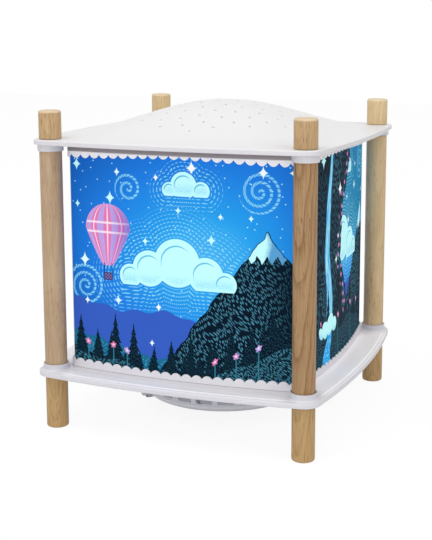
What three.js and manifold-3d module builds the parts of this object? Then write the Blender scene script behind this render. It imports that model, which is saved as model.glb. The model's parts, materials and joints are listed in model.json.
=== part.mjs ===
import * as THREE from 'three';
import { mergeVertices } from 'three/addons/utils/BufferGeometryUtils.js';
import Module from 'manifold-3d';

const wasm = await Module();
wasm.setup();

// A night lamp whose picture moves: a drum turns round a fixed LED column inside a printed shade.
// Millimetres, +Z up. The origin is on the floor, under the middle of the lamp.
// The wide face of the photograph looks along -Y, and +X is its right.

// Overall
const POST_DIAMETER = 15;
const POST_ROUNDING = 1.5;
const FOOT_HEIGHT = 37;
const WINDOW_HEIGHT = 153.8;
const FINIAL_HEIGHT = 19;
const SEAT_GAP = 0.3;
const RUNNING_GAP = 0.3;
const CUT_OVERRUN = 2;

// Base tray
const TRAY_EDGE_HEIGHT = 4;
const TRAY_WALL = 2.5;
const TRAY_LIP = 2.4;
const TRAY_CORNER_RADIUS = 11.5;
const TRAY_BULGE = 6.2;
const TRAY_STEP_INSET = 3.4;
const TRAY_STEP_DEPTH = 0.8;
const EDGE_ROUNDING = 1;
const COLLAR_HEIGHT = 4;
const COLLAR_WALL = 0.9;

// Top cover
const COVER_EDGE_HEIGHT = 3.3;
const COVER_WALL = 2.2;
const COVER_LIP = 2.2;
const COVER_CORNER_RADIUS = 11;
const COVER_BULGE = 5;
const COVER_COLLAR_DROP = 4.5;
const DOME_HEIGHT = 22.5;
const DOME_FOOT_REACH = 106;
const DOME_FULLNESS_SHARE = 0.9;
const DOME_SQUARENESS_SHARE = 3;
const STAR_HOLE_COUNT = 40;
const STAR_HOLE_RADIUS = 1.3;
const STAR_FIELD_RADIUS = 72;
const STAR_FIELD_INNER_RADIUS = 9;

// Shade sheet and its two scalloped edgings
const SHADE_HALF_WIDTH = 82;
const SHADE_TO_POST = 6.5;
const SHADE_CORNER_RADIUS = 6;
const SHADE_BULGE = 5.2;
const SHEET_THICKNESS = 0.8;
const EDGING_WALL = 1.1;
const EDGING_FLANGE = 4;
const EDGING_FLANGE_HEIGHT = 1.2;
const SCALLOPS_PER_SIDE = 21;
const SCALLOP_DEPTH = 2.6;
const LOWER_EDGING_HEIGHT = 6.6;
const LOWER_EDGING_SAG = 1.3;
const UPPER_EDGING_HEIGHT = 10;
const UPPER_EDGING_ARCH = 2.6;

// Studs in the posts
const STUD_RADIUS = 2.4;
const STUD_REACH = 12;
const STUD_POINT_LENGTH = 2;
const STUD_CLEARANCE = 0.3;

// Housing under the tray
const HOUSING_RADIUS = 58;
const HOUSING_WALL = 2;
const HOUSING_FLOOR_HEIGHT = 9.9;
const HOUSING_EDGE_RADIUS = 6.7;
const SLOT_COUNT = 24;
const SLOT_RIB_WIDTH = 3.3;
const SLOT_BOTTOM_HEIGHT = 15.8;
const SLOT_HEIGHT = 15;
const BOSS_INSET = 6.5;
const BOSS_RADIUS = 3.6;
const BOSS_TO_EAR_GAP = 1.05;
const BOSS_COUNT = 3;
const STANDOFF_HEIGHT = 0.8;
const STANDOFF_RADIUS = 2.2;

// Self-tapping screws, all of one size
const SCREW_RADIUS = 1.4;
const SCREW_HEAD_RADIUS = 2.6;
const SCREW_HEAD_HEIGHT = 1.8;
const SCREW_CLEARANCE = 0.3;
const SCREW_BITE = 2;

// Push button at the front left
const BUTTON_ANGLE = -135;
const BUTTON_RADIUS = 4.4;
const BUTTON_TRAVEL = 1.2;
const BUTTON_PROUD = 3.6;
const BUTTON_HEIGHT = 16.8;
const BUTTON_BOSS_WALL = 1.3;
const BUTTON_BOSS_PROUD = 2.6;
const BUTTON_STEM_RADIUS = 1.5;
const BUTTON_FLANGE_WIDTH = 11.6;
const BUTTON_FLANGE_HEIGHT = 3.6;
const BUTTON_FLANGE_THICKNESS = 1.2;
const BUTTON_CROWN = 0.9;

// Power inlet at the back
const INLET_BARREL_RADIUS = 5.4;
const INLET_BORE_RADIUS = 3.3;
const INLET_PIN_RADIUS = 0.9;
const INLET_LENGTH = 15;
const INLET_BORE_DEPTH = 10;
const INLET_FLANGE_RADIUS = 7;
const INLET_FLANGE_THICKNESS = 1.6;
const INLET_FLAT_DEPTH = 1.2;
const INLET_NUT_WIDTH = 14;
const INLET_NUT_THICKNESS = 2.2;
const NUT_SIDES = 6;

// Control board
const BOARD_THICKNESS = 1.6;
const BOARD_LENGTH = 46;
const BOARD_INNER_X = -9;
const BOARD_CENTRE_Y = 2;
const BOARD_TO_BOSS_GAP = 4.27;
const SWITCH_SIZE = 6;
const SWITCH_THICKNESS = 3.5;
const SWITCH_TIP_RADIUS = 1.1;
const SWITCH_TIP_LENGTH = 1.2;
const BOARD_TONGUE_ROOT = 26.6;
const BOARD_TONGUE_WIDTH = 9;
const CHIP_SIZE = 8;
const CHIP_THICKNESS = 1.6;
const CAPACITOR_RADIUS = 3.2;
const CAPACITOR_LENGTH = 9;
const CAPACITOR_OFFSET = 15;

// Gear motor, a flat can with its shaft to one side
const MOTOR_RADIUS = 14;
const MOTOR_HEIGHT = 18;
const MOTOR_SHAFT_OFFSET = 8;
const MOTOR_SHAFT_RADIUS = 2.5;
const MOTOR_NOSE_RADIUS = 4.5;
const MOTOR_NOSE_HEIGHT = 1.5;
const MOTOR_EAR_SPACING = 35;
const MOTOR_EAR_RADIUS = 3.6;
const MOTOR_EAR_THICKNESS = 1;

// Gears
const GEAR_MODULE = 1.25;
const DRUM_TEETH = 48;
const PINION_TEETH = 12;
const PRESSURE_ANGLE = 20;
const BACKLASH = 0.36;
const GEAR_THICKNESS = 4;
const ADDENDUM_SHARE = 1;
const DEDENDUM_SHARE = 1.28;

// LED column
const COLUMN_RADIUS = 9;
const COLUMN_BORE_RADIUS = 4.5;
const COLUMN_HEIGHT = 58;
const COLUMN_FLANGE_RADIUS = 18;
const COLUMN_FLANGE_THICKNESS = 2.4;
const COLUMN_HEAD_RADIUS = 16;
const COLUMN_HEAD_THICKNESS = 3;
const COLUMN_HEAD_FLARE = 7;
const COLUMN_SCREW_CIRCLE = 14;
const LED_BOARD_RADIUS = 14.5;
const LED_SIZE = 3.5;
const LED_THICKNESS = 1.1;
const LED_CIRCLE_RADIUS = 8;
const SIDE_LED_COUNT = 3;
const TOP_LED_RADIUS = 2.5;
const TOP_LED_HEIGHT = 5;
const DIFFUSER_RADIUS = 19;
const DIFFUSER_WALL = 1.2;
const DIFFUSER_HEIGHT = 30;
const DIFFUSER_NECK_HEIGHT = 5;

// Turning drum
const DRUM_CLEARANCE = 10;
const DRUM_FILM_THICKNESS = 0.8;
const DRUM_TOP_CLEARANCE = 14.8;
const TURNTABLE_RIM_WIDTH = 4;
const TURNTABLE_RIM_HEIGHT = 2;
const TURNTABLE_LIP_HEIGHT = 6;
const TURNTABLE_LIP_WALL = 1.2;
const SPOKE_COUNT = 5;
const SPOKE_WIDTH = 7;
const SPOKE_THICKNESS = 2.4;
const HUB_WALL = 2.8;
const HUB_HEIGHT = 12;
const WASHER_THICKNESS = 1;
const WASHER_WIDTH = 3.4;
const RING_THICKNESS = 1.2;
const HOOP_LIP_HEIGHT = 5;
const HOOP_LIP_WALL = 1.2;
const HOOP_CAP_THICKNESS = 1.4;

// Leads
const LEAD_RADIUS = 1.1;
const LEAD_DROP = 3;
const LEAD_SIDES_HALVED = 3;
const LEAD_STEPS_PER_SPAN = 3;
const LEAD_END_X = -13;
const POWER_LEAD_END_Y = 21;
const MOTOR_LEAD_X = 23;
const MOTOR_LEAD_Y = 5;
const LED_LEAD_END_Y = -9;

// Fineness of round shapes, in sides
const FINE_STEPS = 32;
const ROUND_STEPS = 24;
const POST_STEPS = 14;
const SMALL_STEPS = 12;
const STUD_STEPS = 6;
const LOBE_STEPS = 3;

// Heights and radii worked out from the sizes above
const TRAY_BOTTOM = FOOT_HEIGHT;
const TRAY_TOP = TRAY_BOTTOM + TRAY_EDGE_HEIGHT;
const TRAY_UNDERSIDE = TRAY_TOP - TRAY_WALL;
const COVER_BOTTOM = TRAY_TOP + WINDOW_HEIGHT;
const COVER_TOP = COVER_BOTTOM + COVER_EDGE_HEIGHT;
const COVER_UNDERSIDE = COVER_TOP - COVER_WALL;
const POST_RADIUS = POST_DIAMETER / 2;
const HALF_SPACING = SHADE_HALF_WIDTH + SHADE_TO_POST;
const STUD_HOLE_RADIUS = STUD_RADIUS + STUD_CLEARANCE;
const COLLAR_BORE_RADIUS = POST_RADIUS + SEAT_GAP;
const COLLAR_RADIUS = COLLAR_BORE_RADIUS + COLLAR_WALL;
const FLOOR_TOP = HOUSING_FLOOR_HEIGHT + HOUSING_WALL;
const BOSS_CIRCLE_RADIUS = HOUSING_RADIUS - HOUSING_WALL - BOSS_INSET;
const BOSS_START_Y = MOTOR_EAR_SPACING / 2 + SCREW_HEAD_RADIUS + BOSS_TO_EAR_GAP + BOSS_RADIUS;
const BOSS_START_ANGLE = Math.asin(BOSS_START_Y / BOSS_CIRCLE_RADIUS);
const INLET_HEIGHT = HOUSING_FLOOR_HEIGHT + HOUSING_EDGE_RADIUS + INLET_NUT_WIDTH / 2;
const DRUM_RADIUS = SHADE_HALF_WIDTH - DRUM_CLEARANCE;
const FLANGE_BOTTOM = TRAY_TOP + SEAT_GAP;
const FLANGE_TOP = FLANGE_BOTTOM + COLUMN_FLANGE_THICKNESS;
const WASHER_BOTTOM = FLANGE_TOP + SEAT_GAP;
const GEAR_BOTTOM = WASHER_BOTTOM + WASHER_THICKNESS + RUNNING_GAP;
const GEAR_TOP = GEAR_BOTTOM + GEAR_THICKNESS;
const SPOKE_TOP = GEAR_TOP + SPOKE_THICKNESS;
const HUB_TOP = GEAR_BOTTOM + HUB_HEIGHT;
const COLUMN_TOP = FLANGE_BOTTOM + COLUMN_HEIGHT;
const PITCH_RADIUS = GEAR_MODULE * DRUM_TEETH / 2;
const PINION_PITCH_RADIUS = GEAR_MODULE * PINION_TEETH / 2;
const SHAFT_X = PITCH_RADIUS + PINION_PITCH_RADIUS;

const QUARTER_TURN = Math.PI / 2;
const radians = (degrees) => degrees * Math.PI / 180;

// Corners of the square of posts, named as seen from the front
const corners = [
  { name: 'front_left', x: -HALF_SPACING, y: -HALF_SPACING },
  { name: 'front_right', x: HALF_SPACING, y: -HALF_SPACING },
  { name: 'back_right', x: HALF_SPACING, y: HALF_SPACING },
  { name: 'back_left', x: -HALF_SPACING, y: HALF_SPACING },
];

// Materials
const finish = (color, roughness, metalness = 0) =>
  new THREE.MeshStandardMaterial({ color, roughness, metalness });
const beech = finish(0xc9a377, 0.6);
const whitePlastic = finish(0xf0eff1, 0.4);
const trayPlastic = finish(0xe0dce6, 0.4);
const housingPlastic = finish(0xb9bdc8, 0.5);
const buttonPlastic = finish(0xa9abb2, 0.5);
const printedSheet = finish(0x2f6fc4, 0.5);
const drumFilm = finish(0xbfd8ee, 0.4);
const clearPlastic = finish(0xf6f4ea, 0.3);
const nylon = finish(0xe8e6dc, 0.45);
const steel = finish(0xb8babd, 0.35, 1);
const darkPlastic = finish(0x222326, 0.5);
const boardGreen = finish(0x1f6b45, 0.5);
const ledYellow = finish(0xf4dd7a, 0.3);
const wireWhite = finish(0xdddddd, 0.5);

// Geometry helpers

// Drops normals and uvs, merges the corners, and turns the faces out if they point in
function closed(source) {
  const plain = source.clone();
  for (const name of Object.keys(plain.attributes)) {
    if (name !== 'position') plain.deleteAttribute(name);
  }
  const merged = mergeVertices(plain, 1e-4);
  const points = merged.attributes.position.array;
  const from = merged.index.array;
  const kept = [];
  let volume = 0;
  for (let i = 0; i < from.length; i += 3) {
    const [a, b, c] = [from[i], from[i + 1], from[i + 2]];
    if (a === b || b === c || a === c) continue;
    kept.push(a, b, c);
    const [ax, ay, az] = points.slice(3 * a, 3 * a + 3);
    const [bx, by, bz] = points.slice(3 * b, 3 * b + 3);
    const [cx, cy, cz] = points.slice(3 * c, 3 * c + 3);
    volume += ax * (by * cz - bz * cy) + ay * (bz * cx - bx * cz) + az * (bx * cy - by * cx);
  }
  if (volume < 0) kept.reverse();
  merged.setIndex(kept);
  return merged;
}

function toSolid(source) {
  const ready = closed(source);
  return new wasm.Manifold(new wasm.Mesh({
    numProp: 3,
    vertProperties: new Float32Array(ready.attributes.position.array),
    triVerts: new Uint32Array(ready.index.array),
  }));
}

function toGeometry(solid) {
  const result = solid.getMesh();
  const made = new THREE.BufferGeometry();
  made.setAttribute('position', new THREE.BufferAttribute(result.vertProperties, 3));
  made.setIndex(new THREE.BufferAttribute(result.triVerts, 1));
  return made;
}

// A base geometry with others added and then others cut away
function shaped(base, added = [], cut = []) {
  let solid = toSolid(base);
  for (const piece of added) solid = solid.add(toSolid(piece));
  for (const piece of cut) solid = solid.subtract(toSolid(piece));
  return toGeometry(solid);
}

function place(geometry, x, y, z = 0) {
  return geometry.translate(x, y, z);
}

// A profile of [radius, height] pairs turned round the Z axis
function turned(profile, steps = ROUND_STEPS) {
  const points = profile.map(([radius, height]) => new THREE.Vector2(radius, height));
  const lathe = new THREE.LatheGeometry(points, steps);
  return closed(lathe.rotateX(QUARTER_TURN));
}

function disc(radius, low, high, steps = ROUND_STEPS) {
  return turned([[0, low], [radius, low], [radius, high], [0, high]], steps);
}

function ring(inner, outer, low, high, steps = ROUND_STEPS) {
  return turned([[inner, low], [outer, low], [outer, high], [inner, high], [inner, low]], steps);
}

function block(sizeX, sizeY, low, high) {
  return new THREE.BoxGeometry(sizeX, sizeY, high - low).translate(0, 0, (low + high) / 2);
}

// Turns a Z-axis shape to lie along the ray at this angle, its origin at the given height
function alongRay(geometry, angle, height) {
  return geometry.rotateY(QUARTER_TURN).rotateZ(radians(angle)).translate(0, 0, height);
}

function extruded(shape, low, high, curveSteps = SMALL_STEPS) {
  const options = { depth: high - low, bevelEnabled: false, curveSegments: curveSteps };
  return new THREE.ExtrudeGeometry(shape, options).translate(0, 0, low);
}

// A rounded square with bowed sides. Each station is a point's arc centre, radius and angle,
// so that the same station at any inset lies on one normal.
function bowedSquare(halfSquare, cornerRadius, bulge, sideSteps, cornerSteps) {
  const bowRadius = (bulge * bulge + halfSquare * halfSquare) / (2 * bulge);
  const bowAngle = Math.asin(halfSquare / bowRadius);
  const bowCentre = Math.sqrt(bowRadius * bowRadius - halfSquare * halfSquare) - halfSquare;
  const stations = [];
  for (let side = 0; side < 4; side += 1) {
    const turn = side * QUARTER_TURN;
    const add = (x, y, radius, angle, share) => stations.push({
      x: x * Math.cos(turn) - y * Math.sin(turn),
      y: x * Math.sin(turn) + y * Math.cos(turn),
      radius,
      angle: angle + turn - QUARTER_TURN,
      share,
    });
    for (let i = 0; i < sideSteps; i += 1) {
      const angle = -bowAngle + 2 * bowAngle * i / sideSteps;
      add(0, bowCentre, bowRadius + cornerRadius, angle, i / sideSteps);
    }
    for (let i = 0; i < cornerSteps; i += 1) {
      const angle = bowAngle + (QUARTER_TURN - 2 * bowAngle) * i / cornerSteps;
      add(halfSquare, -halfSquare, cornerRadius, angle, 1);
    }
  }
  return stations;
}

function stationPoint(station, inset) {
  const reach = station.radius - inset;
  return [
    station.x + reach * Math.cos(station.angle),
    station.y + reach * Math.sin(station.angle),
  ];
}

// A closed body from rings of points, each ring with as many points, capped by its two poles
function ringLoft(rings, firstPole, lastPole) {
  const count = rings[0].length;
  const positions = [...firstPole];
  for (const points of rings) {
    for (const point of points) positions.push(...point);
  }
  positions.push(...lastPole);
  const last = positions.length / 3 - 1;
  const index = [];
  for (let i = 0; i < count; i += 1) {
    const next = (i + 1) % count;
    index.push(0, 1 + i, 1 + next);
    for (let r = 0; r + 1 < rings.length; r += 1) {
      const here = 1 + r * count;
      const there = here + count;
      index.push(here + i, there + i, there + next, here + i, there + next, here + next);
    }
    const end = 1 + (rings.length - 1) * count;
    index.push(end + i, last, end + next);
  }
  const loft = new THREE.BufferGeometry();
  loft.setAttribute('position', new THREE.Float32BufferAttribute(positions, 3));
  loft.setIndex(index);
  return closed(loft);
}

// A closed band: a section carried once round. Each loop is a list of [x, y, z] with a key
// that says where it lies on the way round, and neighbouring loops may differ in number.
function zippedBand(loops) {
  const positions = [];
  const starts = [];
  for (const loop of loops) {
    starts.push(positions.length / 3);
    for (const point of loop) positions.push(point.x, point.y, point.z);
  }
  const index = [];
  loops.forEach((loop, l) => {
    const other = loops[(l + 1) % loops.length];
    const a0 = starts[l];
    const b0 = starts[(l + 1) % loops.length];
    let i = 0;
    let j = 0;
    const keyAt = (list, k) => (k < list.length ? list[k].key : 1);
    while (i < loop.length || j < other.length) {
      const a = a0 + i % loop.length;
      const b = b0 + j % other.length;
      const stepA = i < loop.length && (j >= other.length
        || keyAt(loop, i + 1) <= keyAt(other, j + 1));
      if (stepA) {
        index.push(a, b, a0 + (i + 1) % loop.length);
        i += 1;
      } else {
        index.push(a, b, b0 + (j + 1) % other.length);
        j += 1;
      }
    }
  });
  const band = new THREE.BufferGeometry();
  band.setAttribute('position', new THREE.Float32BufferAttribute(positions, 3));
  band.setIndex(index);
  return closed(band);
}

const lamp = new THREE.Group();

function addPart(name, geometry, material, group = lamp) {
  const mesh = new THREE.Mesh(geometry, material);
  mesh.name = name;
  group.add(mesh);
  return mesh;
}

// The bell of the cover: a raised cosine, a little fuller than a plain one. Its foot is a squarish
// round, (|x|^n + |y|^n)^(1/n) = DOME_FOOT_REACH, so it keeps to the plate's outline.
function domeRise(x, y) {
  const n = DOME_SQUARENESS_SHARE;
  const reach = (Math.abs(x) ** n + Math.abs(y) ** n) ** (1 / n);
  const share = Math.min(reach / DOME_FOOT_REACH, 1);
  const bell = (1 + Math.cos(Math.PI * share)) / 2;
  return DOME_HEIGHT * bell ** DOME_FULLNESS_SHARE;
}

// Posts: foot, pillar and finial at each corner, with a stud through each plate
function makePosts() {
  const footTop = TRAY_UNDERSIDE - SEAT_GAP;
  const pillarBottom = TRAY_TOP + SEAT_GAP;
  const pillarTop = COVER_UNDERSIDE - SEAT_GAP;
  const finialBottom = COVER_TOP + SEAT_GAP;
  const finialTop = COVER_TOP + FINIAL_HEIGHT;
  const holeDepth = STUD_REACH + STUD_CLEARANCE;
  const shoulder = POST_RADIUS - POST_ROUNDING;
  const foot = [
    [0, 0],
    [shoulder, 0],
    [POST_RADIUS, POST_ROUNDING],
    [POST_RADIUS, footTop],
    [STUD_HOLE_RADIUS, footTop],
    [STUD_HOLE_RADIUS, footTop - holeDepth],
    [0, footTop - holeDepth],
  ];
  const pillar = [
    [0, pillarBottom + holeDepth],
    [STUD_HOLE_RADIUS, pillarBottom + holeDepth],
    [STUD_HOLE_RADIUS, pillarBottom],
    [POST_RADIUS, pillarBottom],
    [POST_RADIUS, pillarTop],
    [STUD_HOLE_RADIUS, pillarTop],
    [STUD_HOLE_RADIUS, pillarTop - holeDepth],
    [0, pillarTop - holeDepth],
  ];
  const finial = [
    [0, finialBottom + holeDepth],
    [STUD_HOLE_RADIUS, finialBottom + holeDepth],
    [STUD_HOLE_RADIUS, finialBottom],
    [POST_RADIUS, finialBottom],
    [POST_RADIUS, finialTop - POST_ROUNDING],
    [shoulder, finialTop],
    [0, finialTop],
  ];
  const stud = (low, high) => [
    [0, low],
    [STUD_RADIUS - STUD_POINT_LENGTH / 2, low],
    [STUD_RADIUS, low + STUD_POINT_LENGTH],
    [STUD_RADIUS, high - STUD_POINT_LENGTH],
    [STUD_RADIUS - STUD_POINT_LENGTH / 2, high],
    [0, high],
  ];
  for (const { name, x, y } of corners) {
    addPart(`foot_${name}`, place(turned(foot, POST_STEPS), x, y), beech);
    addPart(`pillar_${name}`, place(turned(pillar, POST_STEPS), x, y), beech);
    addPart(`finial_${name}`, place(turned(finial, POST_STEPS), x, y), beech);
    const lower = stud(footTop - STUD_REACH, pillarBottom + STUD_REACH);
    const upper = stud(pillarTop - STUD_REACH, finialBottom + STUD_REACH);
    addPart(`lower_stud_${name}`, place(turned(lower, STUD_STEPS), x, y), steel);
    addPart(`upper_stud_${name}`, place(turned(upper, STUD_STEPS), x, y), steel);
  }
}

// Plates
const SIDE_STATIONS = 6;
const CORNER_STATIONS = 3;

function collars(low, high) {
  return corners.map(({ x, y }) =>
    place(ring(COLLAR_BORE_RADIUS, COLLAR_RADIUS, low, high, POST_STEPS), x, y));
}

function studHoles(low, high) {
  return corners.map(({ x, y }) =>
    place(disc(STUD_HOLE_RADIUS, low - CUT_OVERRUN, high + CUT_OVERRUN, STUD_STEPS), x, y));
}

function makeTray() {
  const stations = bowedSquare(
    HALF_SPACING, TRAY_CORNER_RADIUS, TRAY_BULGE, SIDE_STATIONS, CORNER_STATIONS);
  const loop = (inset, z) => stations.map((s) => [...stationPoint(s, inset), z]);
  const stepZ = TRAY_TOP - TRAY_STEP_DEPTH;
  const rings = [
    loop(TRAY_STEP_INSET, TRAY_TOP),
    loop(TRAY_STEP_INSET - TRAY_STEP_DEPTH / 2, stepZ),
    loop(EDGE_ROUNDING, stepZ),
    loop(0, stepZ - EDGE_ROUNDING),
    loop(0, TRAY_BOTTOM + EDGE_ROUNDING / 2),
    loop(EDGE_ROUNDING / 2, TRAY_BOTTOM),
    loop(TRAY_LIP, TRAY_BOTTOM),
    loop(TRAY_LIP, TRAY_UNDERSIDE),
  ];
  const plate = ringLoft(rings, [0, 0, TRAY_TOP], [0, 0, TRAY_UNDERSIDE]);
  const drill = (radius, x, y, steps) => place(
    disc(radius, TRAY_UNDERSIDE - CUT_OVERRUN, TRAY_TOP + CUT_OVERRUN, steps), x, y);
  const pilot = SCREW_RADIUS + SCREW_CLEARANCE;
  const screws = [...bossPlaces(), ...columnScrewPlaces(), ...motorScrewPlaces()];
  return shaped(plate, collars(TRAY_TOP - TRAY_WALL / 2, TRAY_TOP + COLLAR_HEIGHT), [
    ...studHoles(TRAY_UNDERSIDE, TRAY_TOP),
    drill(COLUMN_BORE_RADIUS, 0, 0, SMALL_STEPS),
    drill(MOTOR_NOSE_RADIUS + SEAT_GAP, SHAFT_X, 0, SMALL_STEPS),
    ...screws.map(([x, y]) => drill(pilot, x, y, STUD_STEPS)),
  ]);
}

// Star holes follow a sunflower spiral from the dome's crown to the edge of the star field
function starPlaces() {
  const golden = Math.PI * (3 - Math.sqrt(5));
  const inner = STAR_FIELD_INNER_RADIUS ** 2;
  const outer = STAR_FIELD_RADIUS ** 2;
  const places = [];
  for (let i = 0; i < STAR_HOLE_COUNT; i += 1) {
    const share = i / (STAR_HOLE_COUNT - 1);
    const radius = Math.sqrt(inner + (outer - inner) * share);
    places.push([radius * Math.cos(i * golden), radius * Math.sin(i * golden), i * golden]);
  }
  return places;
}

function makeCover() {
  const stations = bowedSquare(
    HALF_SPACING, COVER_CORNER_RADIUS, COVER_BULGE, SIDE_STATIONS, CORNER_STATIONS);
  const flatLoop = (inset, z) => stations.map((s) => [...stationPoint(s, inset), z]);
  const domeLoop = (inset, share, drop) => stations.map((s) => {
    const [x, y] = stationPoint(s, inset).map((v) => v * share);
    return [x, y, COVER_TOP + domeRise(x, y) - drop];
  });
  const topShares = [0.16, 0.32, 0.48, 0.64, 0.78, 0.87];
  const lowShares = [1, 0.88, 0.7, 0.5, 0.25];
  const rings = [
    ...topShares.map((share) => domeLoop(EDGE_ROUNDING, share, 0)),
    flatLoop(EDGE_ROUNDING, COVER_TOP),
    flatLoop(0, COVER_TOP - EDGE_ROUNDING),
    flatLoop(0, COVER_BOTTOM + EDGE_ROUNDING / 2),
    flatLoop(EDGE_ROUNDING / 2, COVER_BOTTOM),
    flatLoop(COVER_LIP, COVER_BOTTOM),
    ...lowShares.map((share) => domeLoop(COVER_LIP, share, COVER_WALL)),
  ];
  const crown = COVER_TOP + DOME_HEIGHT;
  const shell = ringLoft(rings, [0, 0, crown], [0, 0, crown - COVER_WALL]);
  const star = new THREE.Shape();
  for (let i = 0; i < 4; i += 1) {
    const angle = i * QUARTER_TURN;
    const method = i === 0 ? 'moveTo' : 'lineTo';
    star[method](STAR_HOLE_RADIUS * Math.cos(angle), STAR_HOLE_RADIUS * Math.sin(angle));
  }
  const holes = starPlaces().map(([x, y, angle]) => {
    const punch = extruded(star, COVER_BOTTOM, crown + CUT_OVERRUN);
    return place(punch.rotateZ(angle), x, y);
  });
  const collarTop = COVER_TOP - COVER_WALL / 2;
  return shaped(shell, collars(COVER_BOTTOM - COVER_COLLAR_DROP, collarTop), [
    ...studHoles(COVER_UNDERSIDE, COVER_TOP),
    ...holes,
  ]);
}

// Shade sheet, a closed band of the bowed square
const SHADE_HALF_SQUARE = SHADE_HALF_WIDTH - SHADE_CORNER_RADIUS;
const SHEET_BOTTOM = TRAY_TOP + SEAT_GAP + EDGING_FLANGE_HEIGHT + SEAT_GAP;

// Height of the cover's underside over a point of the plan
function coverUnderside(x, y) {
  return COVER_TOP + domeRise(x, y) - COVER_WALL;
}

function keyed(stations) {
  const perSide = SCALLOPS_PER_SIDE * LOBE_STEPS;
  return stations.map((station, i) => ({
    ...station,
    key: i / stations.length,
    index: Math.round(station.share * perSide),
  }));
}

const COARSE_STEPS = 3 * LOBE_STEPS;

// The stations of the edgings: every lobe has LOBE_STEPS fine ones, and the first one of every
// few lobes is also coarse, while the corners keep all of theirs
function edgingStations() {
  const fine = keyed(bowedSquare(SHADE_HALF_SQUARE, SHADE_CORNER_RADIUS, SHADE_BULGE,
    SCALLOPS_PER_SIDE * LOBE_STEPS, LOBE_STEPS));
  const coarse = fine.filter((s) => s.share === 1 || s.index % COARSE_STEPS === 0);
  return { fine, coarse };
}

function makeSheet() {
  const { coarse } = edgingStations();
  const inner = EDGING_WALL + SEAT_GAP;
  const loop = (inset, height) => coarse.map((s) => {
    const [x, y] = stationPoint(s, inset);
    return { x, y, z: height(x, y), key: s.key };
  });
  const low = () => SHEET_BOTTOM;
  const high = (x, y) => coverUnderside(x, y) - EDGING_FLANGE_HEIGHT - 2 * SEAT_GAP;
  return zippedBand([
    loop(inner, low),
    loop(inner, high),
    loop(inner + SHEET_THICKNESS, high),
    loop(inner + SHEET_THICKNESS, low),
  ]);
}

// One scallop's outline: the share of its depth at a fine station
function lobeShare(index) {
  const along = (index % LOBE_STEPS) / LOBE_STEPS;
  return Math.sqrt(Math.max(1 - (2 * along - 1) ** 2, 0));
}

// An L-shaped edging. The seated side is the coarse one, and the free edge has the scallops.
function makeEdging(seat, freeEdge, flangeSide) {
  const { fine, coarse } = edgingStations();
  const scallops = (inset) => fine.map((s, i) => {
    const [x, y] = stationPoint(s, inset);
    return { x, y, z: freeEdge(s, lobeShare(i)), key: s.key };
  });
  const plain = (inset, offset) => coarse.map((s) => {
    const [x, y] = stationPoint(s, inset);
    return { x, y, z: seat(x, y) + offset, key: s.key };
  });
  return zippedBand([
    plain(0, 0),
    scallops(0),
    scallops(EDGING_WALL),
    plain(EDGING_WALL, flangeSide * EDGING_FLANGE_HEIGHT),
    plain(EDGING_WALL + EDGING_FLANGE, flangeSide * EDGING_FLANGE_HEIGHT),
    plain(EDGING_WALL + EDGING_FLANGE, 0),
  ]);
}

// How far a station lies from its side's corner, as a bow that is 1 in mid side
function sideBow(share) {
  return Math.sin(Math.PI * Math.min(share, 1)) ** 2;
}

function makeLowerEdging() {
  const crest = TRAY_TOP + LOWER_EDGING_HEIGHT;
  const edge = (s, lobe) =>
    crest - LOWER_EDGING_SAG * sideBow(s.share) - SCALLOP_DEPTH * (1 - lobe);
  return makeEdging(() => TRAY_TOP + SEAT_GAP, edge, 1);
}

function makeUpperEdging() {
  const crest = COVER_BOTTOM - UPPER_EDGING_HEIGHT;
  const edge = (s, lobe) =>
    crest + UPPER_EDGING_ARCH * sideBow(s.share) + SCALLOP_DEPTH * (1 - lobe);
  return makeEdging((x, y) => coverUnderside(x, y) - SEAT_GAP, edge, -1);
}

// Housing under the tray
function bossPlaces() {
  return Array.from({ length: BOSS_COUNT }, (unused, i) => {
    const angle = BOSS_START_ANGLE + i * 2 * Math.PI / BOSS_COUNT;
    return [BOSS_CIRCLE_RADIUS * Math.cos(angle), BOSS_CIRCLE_RADIUS * Math.sin(angle)];
  });
}

// The board's outer edge keeps clear of the boss at the left
const LEFT_BOSS_X = bossPlaces()[1][0];
const BOARD_OUTER_X = LEFT_BOSS_X + BOSS_RADIUS + BOARD_TO_BOSS_GAP;
const BOARD_WIDTH = BOARD_INNER_X - BOARD_OUTER_X;
const BOARD_CENTRE_X = (BOARD_INNER_X + BOARD_OUTER_X) / 2;

function slotAngles() {
  const pitch = 360 / SLOT_COUNT;
  const angles = [];
  for (let i = 0; i < SLOT_COUNT; i += 1) {
    const angle = (i + 0.5) * pitch;
    const fromButton = Math.abs(THREE.MathUtils.euclideanModulo(
      angle - BUTTON_ANGLE + 180, 360) - 180);
    const fromInlet = Math.abs(angle - 90);
    if (fromButton > pitch && fromInlet > pitch) angles.push(angle);
  }
  return angles;
}

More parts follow.
